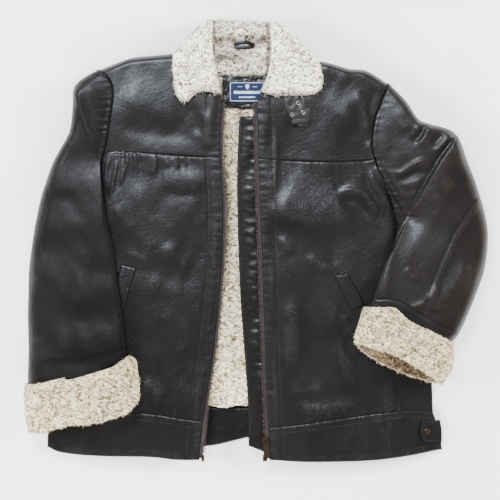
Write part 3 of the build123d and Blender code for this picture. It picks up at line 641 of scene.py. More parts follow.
# %% The folds, in mm: line, height, width on its left, width on its right
FRONT_FOLDS = [
    # wearer's right: a broad swell on the yoke, hollow under it, a fold up to the neck
    ([(-246, 262), (-206, 244), (-164, 228), (-118, 216)], 4.4, 40, 30, 2),
    ([(-250, 206), (-206, 190), (-150, 184), (-100, 182)], -2.2, 22, 14, 2),
    ([(-84, 232), (-86, 204), (-87, 172), (-86, 150)], 3.0, 12, 9, 2),
    ([(-118, 240), (-108, 210), (-102, 180)], -1.8, 10, 9, 1.8),
    # pleats that run down from the yoke seam
    ([(-254, 150), (-262, 122), (-264, 84)], 2.6, 3, 8, 1.3),
    ([(-240, 150), (-247, 116), (-256, 70)], 2.8, 3, 7, 1.3),
    ([(-226, 150), (-229, 128), (-240, 92)], 2.2, 3, 7, 1.3),
    ([(-212, 150), (-212, 136), (-216, 120)], 1.2, 3, 5, 1.3),
    ([(-178, 149), (-176, 134), (-184, 108)], 2.2, 4, 7, 1.3),
    ([(-164, 148), (-158, 136), (-152, 126)], 1.8, 3, 5, 1.3),
    ([(-148, 147), (-143, 136), (-134, 124)], 2.0, 3, 5, 1.3),
    ([(-130, 147), (-124, 136), (-120, 128)], 1.4, 3, 4, 1.3),
    # the puff under the pleats, with a crease round its lower edge
    ([(-172, 118), (-142, 104), (-112, 104), (-98, 124)], 3.6, 20, 20, 2.2),
    ([(-160, 92), (-142, 80), (-120, 78), (-102, 86)], -2.0, 9, 9, 1.6),
    # the wide standing fold down the chest and the slack beside it
    ([(-204, 120), (-196, 60), (-192, -10), (-198, -60)], 3.6, 44, 22, 2),
    ([(-172, 100), (-168, 50), (-170, -20)], -1.6, 12, 20, 1.8),
    ([(-248, 64), (-228, 30), (-204, 20)], 1.6, 10, 12, 1.6),
    ([(-232, -18), (-212, -30), (-186, -34)], 1.2, 8, 12, 1.6),
    ([(-164, -4), (-138, -36), (-108, -52)], 3.4, 20, 26, 1.9),
    ([(-200, -62), (-172, -82), (-142, -88), (-112, -78)], 3.6, 24, 22, 1.9),
    ([(-182, -104), (-152, -132), (-126, -170), (-116, -220)], 4.0, 30, 30, 2),
    ([(-206, -60), (-214, -120), (-222, -190), (-214, -250)], -2.6, 16, 20, 1.9),
    ([(-206, -250), (-182, -264), (-160, -284)], 4.2, 15, 22, 1.9),
    ([(-186, -272), (-168, -282), (-152, -298)], 1.4, 5, 8, 1.4),
    ([(-140, -226), (-120, -250), (-104, -256)], -1.6, 14, 14, 1.8),
    # wearer's left: shoulder and yoke
    ([(70, 268), (104, 244), (150, 226), (186, 216)], 4.2, 34, 34, 2),
    ([(178, 270), (178, 252), (186, 228), (193, 200), (196, 172)], 2.8, 10, 8, 1.5),
    ([(208, 268), (200, 240), (195, 214)], -1.8, 7, 8, 1.6),
    ([(108, 312), (138, 292), (164, 270)], 3.4, 18, 22, 2),
    ([(31, 200), (33, 168), (32, 120), (30, 60)], 2.6, 6, 7, 1.5),
    ([(196, 176), (200, 152), (208, 128)], 2.4, 4, 5, 1.3),
    # wearer's left: the chest, a broad bright swell and a ridge that curls to the armhole
    ([(16, 66), (52, 46), (98, 34), (146, 38), (176, 50)], 8.4, 44, 20, 2, 0.2),
    ([(150, 250), (180, 200), (196, 140)], 3.2, 60, 26, 2),
    ([(134, 74), (146, 82), (160, 87), (176, 85), (192, 76), (204, 60), (214, 36)], 4.4, 5, 10, 1.4),
    ([(140, 60), (158, 68), (176, 66), (190, 50), (196, 30)], -2.6, 6, 9, 1.5),
    ([(198, 126), (206, 100), (220, 76), (238, 50)], 3.4, 4, 6, 1.2),
    ([(188, 120), (196, 92), (210, 62)], -1.8, 5, 6, 1.3),
    ([(206, 134), (216, 112), (230, 92)], 2.6, 3, 5, 1.2),
    ([(38, 6), (52, -8), (64, -28)], 2.4, 7, 9, 1.4),
    ([(84, -24), (104, -42), (122, -48), (134, -38)], 2.8, 12, 10, 1.5),
    ([(130, 4), (134, -22), (132, -52)], -1.8, 12, 12, 1.8),
    ([(50, -92), (60, -128), (62, -170), (58, -240)], 4.6, 17, 20, 1.9),
    ([(90, -70), (94, -140), (98, -220)], -2.2, 18, 18, 2),
    ([(122, -80), (136, -140), (148, -200), (152, -260)], 2.6, 18, 20, 1.9),
    ([(148, -128), (160, -150), (168, -176)], 2.4, 5, 6, 1.3),
    ([(60, -288), (108, -298), (148, -292), (196, -278)], 3.6, 11, 16, 1.7),
    ([(52, -256), (84, -264), (124, -260)], 1.8, 10, 12, 1.6),
    ([(214, -60), (226, -140), (232, -230)], -2.0, 16, 20, 1.9),
]
RIGHT_EDGE = [(-60.5, 246), (-63.5, 148), (-58.5, 52), (-62.5, -62), (-74.5, -185), (-88.5, -281), (-95, -330),
              (-99, -378)]
LEFT_EDGE = [(0.5, 246), (3.5, 148), (6.5, 52), (10.5, -62), (14.5, -185), (17.5, -281), (20.5, -330),
             (22.5, -380)]
# gathers under the yoke seams: line, how far they run down, how deep they are
GATHERS = [([(-256, 152), (-169, 149), (-92, 145)], 26, 0.42), ([(44, 140), (129, 136), (202, 139)], 24, 0.12)]
# the seams above the hem bands, and how far their puckers reach
HEM_SEAMS = [([(-358, -308), (-280, -306), (-200, -304), (-116, -316), (-92, -319)], 24),
             ([(30, -330), (60, -326), (146, -314), (251, -300), (306, -304)], 24)]


def front_folds(x, y):
    """What the folds add to the level of the fronts."""
    z = 1.2 * ripple(x, y, 110, 3) + 0.14 * ripple(x, y, 40, 4) + 0.04 * ripple(x, y, 12, 5)
    for settings in FRONT_FOLDS:
        z = z + fold(x, y, *settings)
    for line, reach, deep in GATHERS:
        s, t = beside(x, y, line)
        inside = ease(np.minimum(t, 1 - t) * 12)
        below = inside * np.where(s < 0, np.exp(s / reach), 0.25 * np.exp(-s / 6))
        pleats = ripple(x + 0.15 * y, 0 * y, 11, 8) + 0.6 * ripple(x, 0 * y, 6, 9)
        lip = 0.5 * (s < -1) * np.exp(-np.abs(s + 4) / 5)
        z = z + deep * below * pleats - 0.8 * np.exp(-(s / 1.6) ** 2) + lip
    for line, reach in HEM_SEAMS:
        s = off(x, y, line)
        pucker = ripple(x, 0 * y, 12, 21) + 0.6 * ripple(x, 0 * y, 6, 22)
        z = z + 0.3 * np.exp(-np.abs(s) / reach) * pucker - 0.8 * np.exp(-(s / 1.6) ** 2)
    return z


def zip_edge_folds(x, y):
    """Puckers beside each zip, where the leather is stitched to the tape."""
    total = 0 * x
    for line, seed in ((RIGHT_EDGE, 31), (LEFT_EDGE, 32)):
        s = off(x, y, line)
        pucker = ripple(y, 0 * x, 13, seed) + 0.7 * ripple(y, 0 * x, 6.5, seed + 5)
        band = np.exp(-(np.abs(s) / 16) ** 2)
        total = total + 0.24 * band * pucker - 1.1 * np.exp(-((np.abs(s) - 25) / 1.8) ** 2)
        total = total + 0.9 * np.exp(-((np.abs(s) - 12) / 9) ** 2)
    return total


def front_height(x, y):
    z = body_height(x, y)
    slack = 0.25 + 0.75 * ease((z - 8) / 20)
    near = np.minimum(np.abs(off(x, y, RIGHT_EDGE)), np.abs(off(x, y, LEFT_EDGE)))
    return z + slack * front_folds(x, y) * (0.08 + 0.92 * ease((near - 2) / 20)) + slack * zip_edge_folds(x, y)


# %% [markdown]
# ## Creases as a number
#
# Wax finish rubs off along ridges and gathers in hollows. How sharply a panel bends at each point is kept on
# the panel, and the leather's colour and shine follow it.

# %% Creases
def creases(points):
    """How far each grid point stands above its neighbours, scaled to about -1 to 1."""
    z = points[..., 2] / MM
    rows, columns = z.shape
    step = 4
    p = np.pad(z, step, mode="edge")
    shifts = (0, step, 2 * step)
    near = sum(p[a:a + rows, b:b + columns] for a in shifts for b in shifts) / len(shifts) ** 2
    sharp = 0.8
    return np.clip((z - near) / sharp, -1, 1)


def leather_panel(name, plan, height, material=BODY_LEATHER, thick=1.4, edge=0.0):
    """A leather panel over plan points; with an edge, its rim is turned down by that many mm."""
    z = height(plan[..., 0], plan[..., 1])
    if edge:
        z = z - edge * (1 - rounded(rim(plan), 2.2))
    points = raised(plan, z)
    return thicken(add_piece(name, grid_mesh(points, crease=creases(points)), material), thick)


def declare(piece, body, replaced=(), bend=None):
    """Hides the solid-model parts that a piece replaces, and attaches it to the body it moves with, or bakes its
    transform in place where a bend is given.
    """
    if replaced:
        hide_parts(*replaced)
    if bend:
        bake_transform(piece)
    else:
        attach(piece, body)
    return piece


def fold_bend(body, line, reach=9.0):
    """Turning of the fabric across a front's fold line, from the torso to the flap beside the zip."""
    (x0, y0), (x1, y1) = line
    long = math.hypot(x1 - x0, y1 - y0)
    towards = 1 if body == "right_front" else -1
    out = Vector(((y0 - y1) / long, (x1 - x0) / long, 0)) * towards
    middle = Vector(((x0 + x1) / 2, (y0 + y1) / 2, FRONT))
    return "torso", body, (middle - reach * out) * MM, (middle + reach * out) * MM


RIGHT_BEND = fold_bend("right_front", [(-70, 246), (-190, -389)])
LEFT_BEND = fold_bend("left_front", [(14, 246), (155, -389)])

# %% [markdown]
# ## The two fronts
#
# Each front is a yoke, a main panel and a hem band, cut apart and sewn edge to edge. Their shared lines are
# written once, so that two neighbours meet exactly.

# %% Shared lines of the fronts
RIGHT_YOKE_SEAM = [(-268, 148), (-253, 154), (-169, 150), (-110, 146), (-63.5, 144)]
RIGHT_ARMHOLE = [(-268, 148), (-262, 174), (-256, 209), (-251, 244), (-251, 265), (-258, 281), (-277, 300)]
RIGHT_SHOULDER = [(-277, 300), (-250, 311), (-221, 321), (-184, 325), (-146, 328), (-104, 324)]
RIGHT_NECK = [(-63.5, 144), (-63.5, 196), (-60.5, 238), (-72, 266), (-88, 290), (-104, 324)]
RIGHT_BAND_SEAM = [(-366, -308), (-280, -306), (-200, -304), (-130, -314), (-94, -319)]
RIGHT_SIDE = [(-366, -308), (-364, -150), (-362, 0), (-346, 22), (-310, 44), (-282, 92), (-268, 148)]
LEFT_YOKE_SEAM = [(3.5, 142), (38, 140), (129, 136), (207, 140)]
LEFT_ARMHOLE = [(207, 140), (202, 165), (207, 209), (216, 235), (232, 276)]
LEFT_SHOULDER = [(62, 322), (106, 316), (129, 312), (164, 302), (195, 298), (232, 276)]
LEFT_NECK = [(3.5, 142), (2.5, 196), (0.5, 238), (14, 262), (38, 290), (62, 322)]
LEFT_BAND_SEAM = [(20.5, -330), (60, -326), (146, -314), (251, -300), (312, -304)]
LEFT_SIDE = [(312, -304), (308, -150), (306, 0), (290, 28), (262, 38), (249, 60), (233, 85), (218, 113),
             (207, 140)]


def shares(line, low, high):
    """The part of a line between two heights, low to high."""
    p = smooth_line(line, 300)
    p = p[np.argsort(p[:, 1])]
    keep = p[(p[:, 1] >= low) & (p[:, 1] <= high)]
    first = [np.interp(low, p[:, 1], p[:, 0]), low]
    last = [np.interp(high, p[:, 1], p[:, 0]), high]
    return np.vstack([first, keep[3:-3:6], last])


def over_shoulder(line):
    """The front's height, rolled down to the back along the shoulder line."""
    def height(x, y):
        roll = rounded(np.abs(off(x, y, line)), 15)
        return 3.0 + (front_height(x, y) - 3.0) * (0.12 + 0.88 * roll)
    return height


def front_pieces(side, seam, armhole, shoulder, neck, band_seam, outside, edge, bend):
    """Yoke and main panel of one front; the zip is at the +X end of the right front's lines."""
    at_zip = -1 if side == "right" else 0
    opening = shares(edge, band_seam[at_zip][1], seam[at_zip][1])
    yoke_sides, panel_sides = (armhole, neck), (outside, opening)
    if side == "left":
        yoke_sides, panel_sides = yoke_sides[::-1], panel_sides[::-1]
    plan = patch_points(seam, shoulder, *yoke_sides, 84, 76)
    yoke = leather_panel(f"{side}_yoke", plan, over_shoulder(shoulder))
    declare(yoke, None, [f"{side}_front_yoke"],
            bend=bend)
    plan = patch_points(band_seam, seam, *panel_sides, 104, 170)
    panel = leather_panel(f"{side}_front", plan, front_height)
    replaced = [f"{side}_front_panel", f"{side}_flap_panel"]
    declare(panel, None, replaced, bend=bend)


front_pieces("right", RIGHT_YOKE_SEAM, RIGHT_ARMHOLE, RIGHT_SHOULDER, RIGHT_NECK, RIGHT_BAND_SEAM, RIGHT_SIDE,
             RIGHT_EDGE, RIGHT_BEND)
front_pieces("left", LEFT_YOKE_SEAM, LEFT_ARMHOLE, LEFT_SHOULDER, LEFT_NECK, LEFT_BAND_SEAM, LEFT_SIDE,
             LEFT_EDGE, LEFT_BEND)

# %% [markdown]
# ## Hem bands
#
# The hem band is leather over an interlining, folded under at the hem, so its edge is thick and round. The
# band of the back shows between the two zips, facing up, because the fronts lie apart there.

# %% Hem bands
RIGHT_HEM = [(-370, -366), (-345, -376), (-280, -380), (-190, -381), (-140, -386), (-100, -386)]
LEFT_HEM = [(23, -386), (94, -390), (200, -387), (270, -380), (328, -371)]
RIGHT_BAND_SIDE = [(-370, -366), (-369, -340), (-366, -308)]
LEFT_BAND_SIDE = [(328, -371), (325, -344), (312, -304)]


def band_piece(name, low, top, right, left, height, thick=3.6):
    """A thick band, rounded at its sides and its hem, closed at its ends."""
    plan = patch_points(low, top, right, left, 110, 26)
    side, end = rims(plan)
    v = np.linspace(0, 1, plan.shape[0])[:, None]
    drop = 1 - rounded(np.minimum(side, end * (v < 0.5) + 99 * (v >= 0.5)), 3.5)
    top_level = height(plan[..., 0], plan[..., 1])
    face = raised(plan, top_level - 0.5 * thick * drop)
    under = raised(plan, top_level - thick + 0.45 * thick * drop)
    bent = creases(face)
    skin = np.concatenate([face, under[:, ::-1], face[:, :1]], axis=1)
    worn = np.concatenate([bent, 0 * bent, bent[:, :1]], axis=1)
    bm = weld(grid_mesh(skin, crease=worn))
    bmesh.ops.holes_fill(bm, edges=[e for e in bm.edges if e.is_boundary], sides=0)
    return add_piece(name, bm, BODY_LEATHER)


right_band = band_piece("right_band", RIGHT_HEM, RIGHT_BAND_SEAM, RIGHT_BAND_SIDE,
                        [(-100, -386), (-97, -350), (-94, -319)], front_height)
declare(right_band, None, ["right_hem_band", "right_flap_hem"],
        bend=RIGHT_BEND)
left_band = band_piece("left_band", LEFT_HEM, LEFT_BAND_SEAM, [(23, -386), (22, -360), (20.5, -330)],
                       LEFT_BAND_SIDE, front_height)
declare(left_band, None, ["left_hem_band", "left_flap_hem"],
        bend=LEFT_BEND)

print("fronts and hem bands:", [p.name for p in MADE])

# %% [markdown]
# ## Back, back lining and back hem
#
# The back panel lies on the floor and is seen from below and along the edges. The lining over it shows
# between the zips as one long strip of wool.

# %% Back
def back_height(x, y):
    return 1.9 + 0.35 * ripple(x, y, 90, 41) + 0.25 * ripple(x, y, 30, 42)


# from the side seam up round each armhole
RIGHT_ROUND = [(-362, 0), (-346, 22), (-310, 44), (-282, 92), (-268, 148), (-262, 174), (-256, 209),
               (-251, 244), (-253, 270), (-277, 299)]
LEFT_ROUND = [(306, 0), (290, 28), (262, 38), (233, 85), (207, 140), (202, 165), (207, 209), (216, 235)]
BACK_RIGHT = [(-366, -317), (-364, -150), *RIGHT_ROUND]
BACK_LEFT = [(312, -317), (308, -150), *LEFT_ROUND, (232, 274)]
BACK_TOP = [(-277, 299), (-221, 319), (-146, 326), (-104, 318), (-70, 296), (-27, 290), (14, 296), (62, 318),
            (106, 314), (164, 300), (232, 274)]
BACK_LOW = [(-366, -317), (-100, -317), (100, -317), (312, -317)]
back = leather_panel("back", patch_points(BACK_LOW, BACK_TOP, BACK_RIGHT, BACK_LEFT, 150, 150), back_height)
declare(back, "torso", ["back_panel"])


def back_hem_height(x, y):
    return 4.2 + 0.2 * ripple(x, 0 * y, 40, 43) + 0.25 * ripple(x, y, 12, 44)


back_hem = band_piece("back_hem", [(-367, -360), (-200, -364), (-92, -366), (-28, -353), (-10, -350), (6, -364),
                                   (24, -372), (200, -366), (322, -360)],
                      [(-366, -299), (-100, -299), (100, -299), (310, -299)],
                      [(-367, -360), (-367, -330), (-366, -299)], [(322, -360), (316, -330), (310, -299)],
                      back_hem_height)
declare(back_hem, "torso", ["hem_band_back"])

print("back:", len(back.data.vertices), "points, back hem:", len(back_hem.data.vertices))

# %% [markdown]
# ## Wool pile
#
# The pile is a knitted sheepskin-type fabric with curly wool 7 to 12 mm long. Its surface is lumpy where
# locks clump, so the surface is lifted lump by lump, and short curled locks are laid over it, each pointing
# the way the wool was brushed and a little at random.

# %% Pile surfaces
def pile_relief(x, y, seed=0, deep=1.0):
    """Height of the wool in mm, and how near each point is to the tips (0 to 1)."""
    sway_x, sway_y = 1.6 * ripple(x, y, 17, 61 + seed), 1.6 * ripple(x, y, 17, 62 + seed)
    big = lumps(x + sway_x, y + sway_y, 9.0, 1.3 + seed)
    small = lumps(x + sway_y, y - sway_x, 4.2, 5.1 + seed)
    strands = 0.5 + 0.5 * np.sin((x + 2.2 * sway_x) * 2.1 + 3 * small + 0.9 * (y + sway_y))
    share = 0.5 * big + 0.35 * small + 0.15 * strands
    return deep * (3.4 * share + 0.5 * ripple(x, y, 30, 63 + seed)), np.clip(1.7 * share, 0, 1)


LOCK_ROOT = 1.2


def locks(name, piece, every, material, seed, long=6.5, wide=2.2, brushed=-1.57, lowest=-0.2, tan=None):
    """Curled locks of wool over a piece, one for every so many square mm, rooted just under its surface."""
    mesh = piece.data
    count = len(mesh.polygons)
    found = {"center": np.empty((count, 3)), "normal": np.empty((count, 3)), "area": np.empty(count)}
    for what, values in found.items():
        mesh.polygons.foreach_get(what, values.reshape(-1))
    centre, normal, area = found.values()
    rng = np.random.default_rng(seed)
    weight = area * (normal[:, 2] > lowest)
    some = rng.choice(count, int(weight.sum() / (every * MM * MM)), p=weight / weight.sum())
    place, up = centre[some], normal[some]
    place = place + rng.uniform(-1, 1, place.shape) * MM - LOCK_ROOT * MM * up
    x, y = place[:, 0] / MM, place[:, 1] / MM
    way = brushed + 0.9 * ripple(x, y, 34, seed + 1) + rng.normal(0, 0.55, len(x))
    forward = np.stack([np.cos(way), np.sin(way), np.zeros(len(x))], axis=1)
    forward = forward - (forward * up).sum(1)[:, None] * up + 0.25 * up
    size = np.stack([rng.uniform(0.7, 1.3, len(x)) * long, rng.uniform(0.7, 1.3, len(x)) * wide,
                     rng.uniform(0.7, 1.3, len(x)) * wide * 1.4], axis=1) * MM
    made = stamp(name, TUFT, place, forward, up, size, material)
    # Painted shade: each lock is marked darker at its root and lighter towards its tip.
    reach = np.tile(np.clip(0.25 + 0.75 * TUFT[0][:, 0], 0, 1), len(place))
    note(made, "depth", reach)
    if tan:
        note(made, "tan", np.repeat(tan(x, y), len(TUFT[0])))
    return made


def pile_pad(name, plan, top, bottom, material, seed, deep, tan):
    """A closed padded shape of wool over a patch, with relief on its top and a little on its underside."""
    relief, depth = pile_relief(plan[..., 0], plan[..., 1], seed, deep)
    grow = rounded(rim(plan), 7)
    over, under = top + (relief - 1.0) * (0.25 + 0.75 * grow), bottom - 0.35 * (relief - 1.0) * grow
    points = wrapped(plan, over, np.minimum(under, over - 0.02))
    return add_piece(name, weld(grid_mesh(points, depth=around(depth), tan=around(tan)), 2e-4), material)


# %% Back lining
lining_plan = patch_points([(-318, -298), (-110, -291), (-60, -297), (-20, -292), (100, -296), (262, -298)],
                           [(-240, 268), (-90, 286), (36, 286), (194, 262)],
                           [(-318, -298), (-318, 0), (-262, 120), (-240, 268)],
                           [(262, -298), (262, 0), (204, 120), (194, 262)], 230, 240)
relief, depth = pile_relief(lining_plan[..., 0], lining_plan[..., 1], 7)
points = raised(lining_plan, BACK_PILE - 1.2 + relief)
back_lining = thicken(add_piece("back_lining_pile", grid_mesh(points, depth=depth), PILE_BODY), 7.5)
declare(back_lining, "torso", ["back_lining"])

# %% [markdown]
# ## Linings of the fronts
#
# The same pile is sewn inside each front. It faces down, so it shows when a front is folded open.

# %% Front linings
def front_lining(side, right, left, bend):
    plan = patch_points([right[0], left[0]], [right[-1], left[-1]], right, left, 74, 190)
    x, y = plan[..., 0], plan[..., 1]
    relief, depth = pile_relief(x, y, 11)
    points = raised(plan, front_height(x, y) - 8.6 - relief)
    piece = thicken(add_piece(f"{side}_front_pile", grid_mesh(points, depth=depth), PILE_BODY), 4.0, 1)
    declare(piece, None, [f"{side}_front_lining", f"{side}_flap_lining"],
            bend=bend)


front_lining("right", [(-296, -312), (-292, 15), (-246, 150), (-240, 285)],
             [(-122, -312), (-104, -185), (-88, -20), (-86, 120), (-88, 284)], RIGHT_BEND)
front_lining("left", [(48, -316), (44, -185), (38, -20), (34, 120), (34, 284)],
             [(248, -316), (246, 15), (200, 150), (190, 276)], LEFT_BEND)
print("fronts, back and linings made")

# %% [markdown]
# ## Sleeves
#
# Each sleeve is one leather tube lying flat, sewn to the armhole. Its lines fan out from the armhole and run
# down to the cuff. The wearer's left sleeve is bent at the elbow, so its forearm lies back over the body and
# its upper layer stands over the upper arm in a crease.

# %% Sleeve lines and folds
RIGHT_OUT = [(-403, -259), (-402, -193), (-403, -123), (-401, -60), (-396, -12), (-388, 34), (-379, 75),
             (-368, 108), (-356, 139), (-334, 178), (-327, 197), (-323, 235), (-322, 262), (-314, 276),
             (-298, 288), (-277, 300)]
RIGHT_IN = [(-225, -205), (-232, -141), (-239, -88), (-249, -18), (-265, 60), (-273, 120), (-268, 148)]
LEFT_OUT = [(342, -181), (358, -160), (384, -101), (401, -53), (407, -1), (403, 40), (388, 92), (370, 139),
            (353, 181), (334, 195), (304, 203), (284, 212), (263, 243), (232, 276)]
LEFT_IN = [(196, -119), (206, -88), (221, -45), (235, -20), (249, 10), (256, 34), (262, 38)]
LEFT_SEAM = [(262, 38), (249, 60), (233, 85), (218, 113), (209, 139), (202, 165), (207, 209), (216, 235),
             (232, 276)]

LEFT_ELBOW = [(394, 88), (374, 57), (344, 11), (332, -14), (316, -48), (303, -84), (292, -122)]
LEFT_CUFF_SEAM = [(204, -104), (240, -106), (276, -126), (310, -146), (346, -164)]
RIGHT_SLEEVE_FOLDS = [
    # the deep crease below the shoulder, with the arm standing beside it
    ([(-322, 268), (-309, 236), (-297, 200), (-286, 168), (-276, 134)], 5.2, 26, 5, 1.6, 0.12),
    ([(-309, 262), (-297, 232), (-286, 200), (-277, 170)], -3.0, 5, 10, 1.8),
    ([(-300, 284), (-284, 260), (-271, 226), (-267, 190)], 1.8, 7, 10, 1.6),
    ([(-318, 200), (-302, 150), (-290, 100), (-280, 30), (-268, -60)], 3.0, 22, 24, 1.9),
    ([(-352, 148), (-338, 112), (-330, 72)], 1.8, 16, 18, 1.8),
    ([(-374, 92), (-352, 74), (-322, 70), (-296, 76)], -1.6, 12, 14, 1.8),
    ([(-366, 88), (-363, 62), (-366, 36), (-374, -20)], -0.9, 1.8, 1.8, 2, 0.05),
    ([(-384, 34), (-352, 24), (-318, 30), (-288, 18)], 1.3, 14, 16, 1.8),
    ([(-394, -50), (-356, -66), (-316, -70), (-276, -62)], 1.4, 20, 20, 1.9),
    ([(-398, -108), (-360, -118), (-318, -134), (-268, -130)], -1.4, 18, 20, 1.9),
    ([(-352, -20), (-344, -90), (-340, -170), (-334, -226)], 1.6, 24, 24, 2),
    ([(-386, -160), (-372, -190), (-362, -220)], 2.4, 14, 16, 1.8),
    ([(-400, -222), (-350, -214), (-304, -212), (-244, -192)], -1.0, 6, 9, 1.6),
]
LEFT_SLEEVE_FOLDS = [
    # gathers that fan out from the armpit, each with one steep side
    ([(210, 150), (218, 136), (232, 112), (248, 88), (262, 64)], 4.4, 4, 8, 1.2),
    ([(224, 134), (238, 110), (254, 84), (272, 58)], 3.6, 3, 7, 1.2),
    ([(226, 110), (236, 118), (250, 117), (264, 126), (287, 137), (308, 127)], 6.4, 3, 10, 1.2),
    ([(232, 104), (256, 106), (280, 118), (302, 112)], -4.2, 5, 7, 1.3),
    ([(234, 98), (262, 96), (292, 106)], 4.0, 4, 8, 1.2),
    ([(240, 82), (264, 78), (286, 84)], 3.4, 4, 7, 1.2),
    # hooked creases on the upper arm
    ([(296, 204), (290, 190), (282, 177), (273, 174), (266, 181)], -6.4, 4, 7, 1.3),
    ([(286, 206), (281, 194), (274, 186)], 4.0, 4, 5, 1.3),
    ([(300, 206), (297, 190), (288, 172), (276, 164)], 4.6, 5, 5, 1.3),
    ([(346, 184), (332, 174), (318, 158), (306, 146)], 5.6, 3, 9, 1.3),
    ([(326, 186), (314, 172), (304, 160)], -4.0, 5, 7, 1.4),
    ([(244, 232), (252, 206), (264, 184)], 3.6, 14, 12, 1.8),
    ([(256, 244), (284, 204), (318, 190)], 3.0, 14, 12, 1.8),
    ([(226, 196), (236, 168), (240, 140)], -2.6, 9, 10, 1.7),
    # the elbow seam
    (LEFT_ELBOW, -1.1, 1.7, 1.7, 2, 0.04),
    ([(398, 82), (380, 52), (350, 7), (338, -18), (322, -52), (309, -86), (298, -124)], 1.0, 6, 6, 2, 0.1),
    # the forearm: a sheen down its middle and small folds above the cuff
    ([(380, -30), (356, -62), (332, -94), (302, -126)], 4.6, 15, 18, 1.7),
    ([(392, -60), (366, -96), (332, -134)], -2.2, 14, 14, 1.8),
    ([(346, 120), (326, 82), (308, 44), (292, 12)], 4.2, 18, 20, 1.9),
    ([(296, 40), (282, 6), (264, -30), (252, -80)], 3.6, 16, 16, 1.8),
    ([(258, -46), (270, -62), (284, -68)], 3.0, 5, 8, 1.4),
    ([(296, -110), (304, -92), (318, -80)], 2.8, 5, 7, 1.4),
    ([(296, -124), (318, -128), (346, -120)], -2.8, 6, 7, 1.5),
    ([(262, -120), (284, -112), (296, -104)], 2.6, 5, 7, 1.4),
    (LEFT_CUFF_SEAM, -1.2, 1.8, 1.8, 2, 0.04),
]
FOREARM = [(362, 196), (351, 183), (321, 143), (295, 99), (269, 52), (251, 14), (238, -14), (221, -39),
           (206, -88)]
SLEEVE_HEIGHT = [(-410, 28), (-385, 36), (-350, 44), (-300, 50), (-240, 50), (-200, 48), (160, 48), (220, 51),
                 (300, 52), (350, 46), (385, 36), (410, 28)]
BODY_LEVEL = [(-410, 28), (-258, FRONT), (228, FRONT), (410, 28)]
UNDER_SLEEVE = [(-372, 1.4), (-366, 9.6), (-352, 10), (-340, 13.5), (-300, 24), (-262, 33.5), (-250, 35),
                (222, 35), (234, 33), (258, 24), (288, 12), (300, 6), (310, 5), (318, 1.4)]


def wears_body(x, y, side):
    """1 where the body lies under a sleeve, 0 where only the floor does."""
    if side == "right":
        inward = -off(x, y, [(-362, -340), *RIGHT_ROUND])
    else:
        inward = off(x, y, [(330, -340), *LEFT_ROUND, (232, 276), (240, 330)])
    return ease((inward + 5) / 16)


def ground_level(x, y, side):
    """Where the lowest leather or wool of an arm lies: on the floor, or on the body."""
    return 1.4 + wears_body(x, y, side) * (across(x, UNDER_SLEEVE, 6) - 1.4)


def sleeve_folds(x, y, folds, seed):
    z = 1.3 * ripple(x, y, 100, seed) + 0.18 * ripple(x, y, 38, seed + 1) + 0.05 * ripple(x, y, 12, seed + 2)
    for settings in folds:
        z = z + fold(x, y, *settings)
    return z


def sleeve_layers(plan, side):
    """Top and under layers of a sleeve, in mm."""
    x, y = plan[..., 0], plan[..., 1]
    armhole = RIGHT_ARMHOLE if side == "right" else LEFT_SEAM
    under = ground_level(x, y, side)
    top = across(x, SLEEVE_HEIGHT, 12)
    s = off(x, y, armhole)
    rise = 1 - np.exp(-np.abs(s) / 55)
    at_seam = across(x, BODY_LEVEL) + 1.0
    crown = at_seam + (top - at_seam) * rise + 0.8 * np.exp(-((np.abs(s) - 4) / 3) ** 2)
    folds, seed = (RIGHT_SLEEVE_FOLDS, 71) if side == "right" else (LEFT_SLEEVE_FOLDS, 81)
    crown = crown + rise * sleeve_folds(x, y, folds, seed)
    crown = crown + 0.7 * (ripple(y, 0.3 * x, 10, seed + 4) * np.exp(-np.abs(s) / 12))
    if side == "left":
        s = off(x, y, FOREARM)
        over = ease((s + 1.5) / 5.0)
        crown = crown + rise * (6.5 * over - 4.5 * (1 - over) * np.exp(-np.abs(s) / 16) - 2.2 * (1 - over))
    swell = rounded(rims(plan)[0], 20)
    mid = under + 0.45 * (crown - under)
    return mid + (crown - mid) * swell, mid - (mid - under) * swell


def lying_on(plan, z):
    """The level of a made surface at any place on it, from its nearest point."""
    tree = KDTree(z.size)
    for i, (px, py) in enumerate(plan.reshape(-1, 2)):
        tree.insert((px, py, 0), i)
    tree.balance()
    levels = z.ravel()
    return lambda x, y: np.array([levels[tree.find((a, b, 0))[1]] for a, b in zip(np.ravel(x), np.ravel(y))])


def sleeve(side, low, top, right, left, material, across_cells=96, along_cells=170):
    """The leather tube of one arm; gives back the level of its upper layer, for the stitches."""
    plan = patch_points(low, top, right, left, across_cells, along_cells, crowded(across_cells))
    over, under = sleeve_layers(plan, side)
    points = wrapped(plan, over, np.minimum(under, over - 0.4))
    bent = creases(points[:, :plan.shape[1]])
    bm = weld(grid_mesh(points, crease=around(bent, 0 * bent)))
    piece = thicken(add_piece(f"{side}_sleeve", bm, material), 1.3)
    replaced = [f"{side}_sleeve_top", f"{side}_sleeve_under", f"{side}_sleeve_head"]
    declare(piece, None, replaced,
            bend=SHOULDERS[side])
    return lying_on(plan, over)


# where the fabric bends from the body to the arm, in metres
SHOULDERS = {"right": ("torso", "right_sleeve", Vector((-0.266, 0.160, 0.05)), Vector((-0.296, 0.010, 0.05))),
             "left": ("torso", "left_sleeve", Vector((0.245, 0.18, 0.05)), Vector((0.318, 0.12, 0.05)))}
# The wearer's right sleeve is made in the darker copy of the sleeve leather, a painted shade.
right_sleeve_top = sleeve("right", [(-403, -259), (-344, -245), (-291, -236), (-225, -205)], RIGHT_ARMHOLE[::-1],
                          RIGHT_OUT, RIGHT_IN, SHADED_SLEEVE)
left_sleeve_top = sleeve("left", [(196, -119), (237, -121), (269, -143), (304, -160), (342, -181)], LEFT_SEAM,
                         LEFT_IN, LEFT_OUT, SLEEVE_LEATHER)

print("sleeves:", [p.name for p in MADE[-2:]])

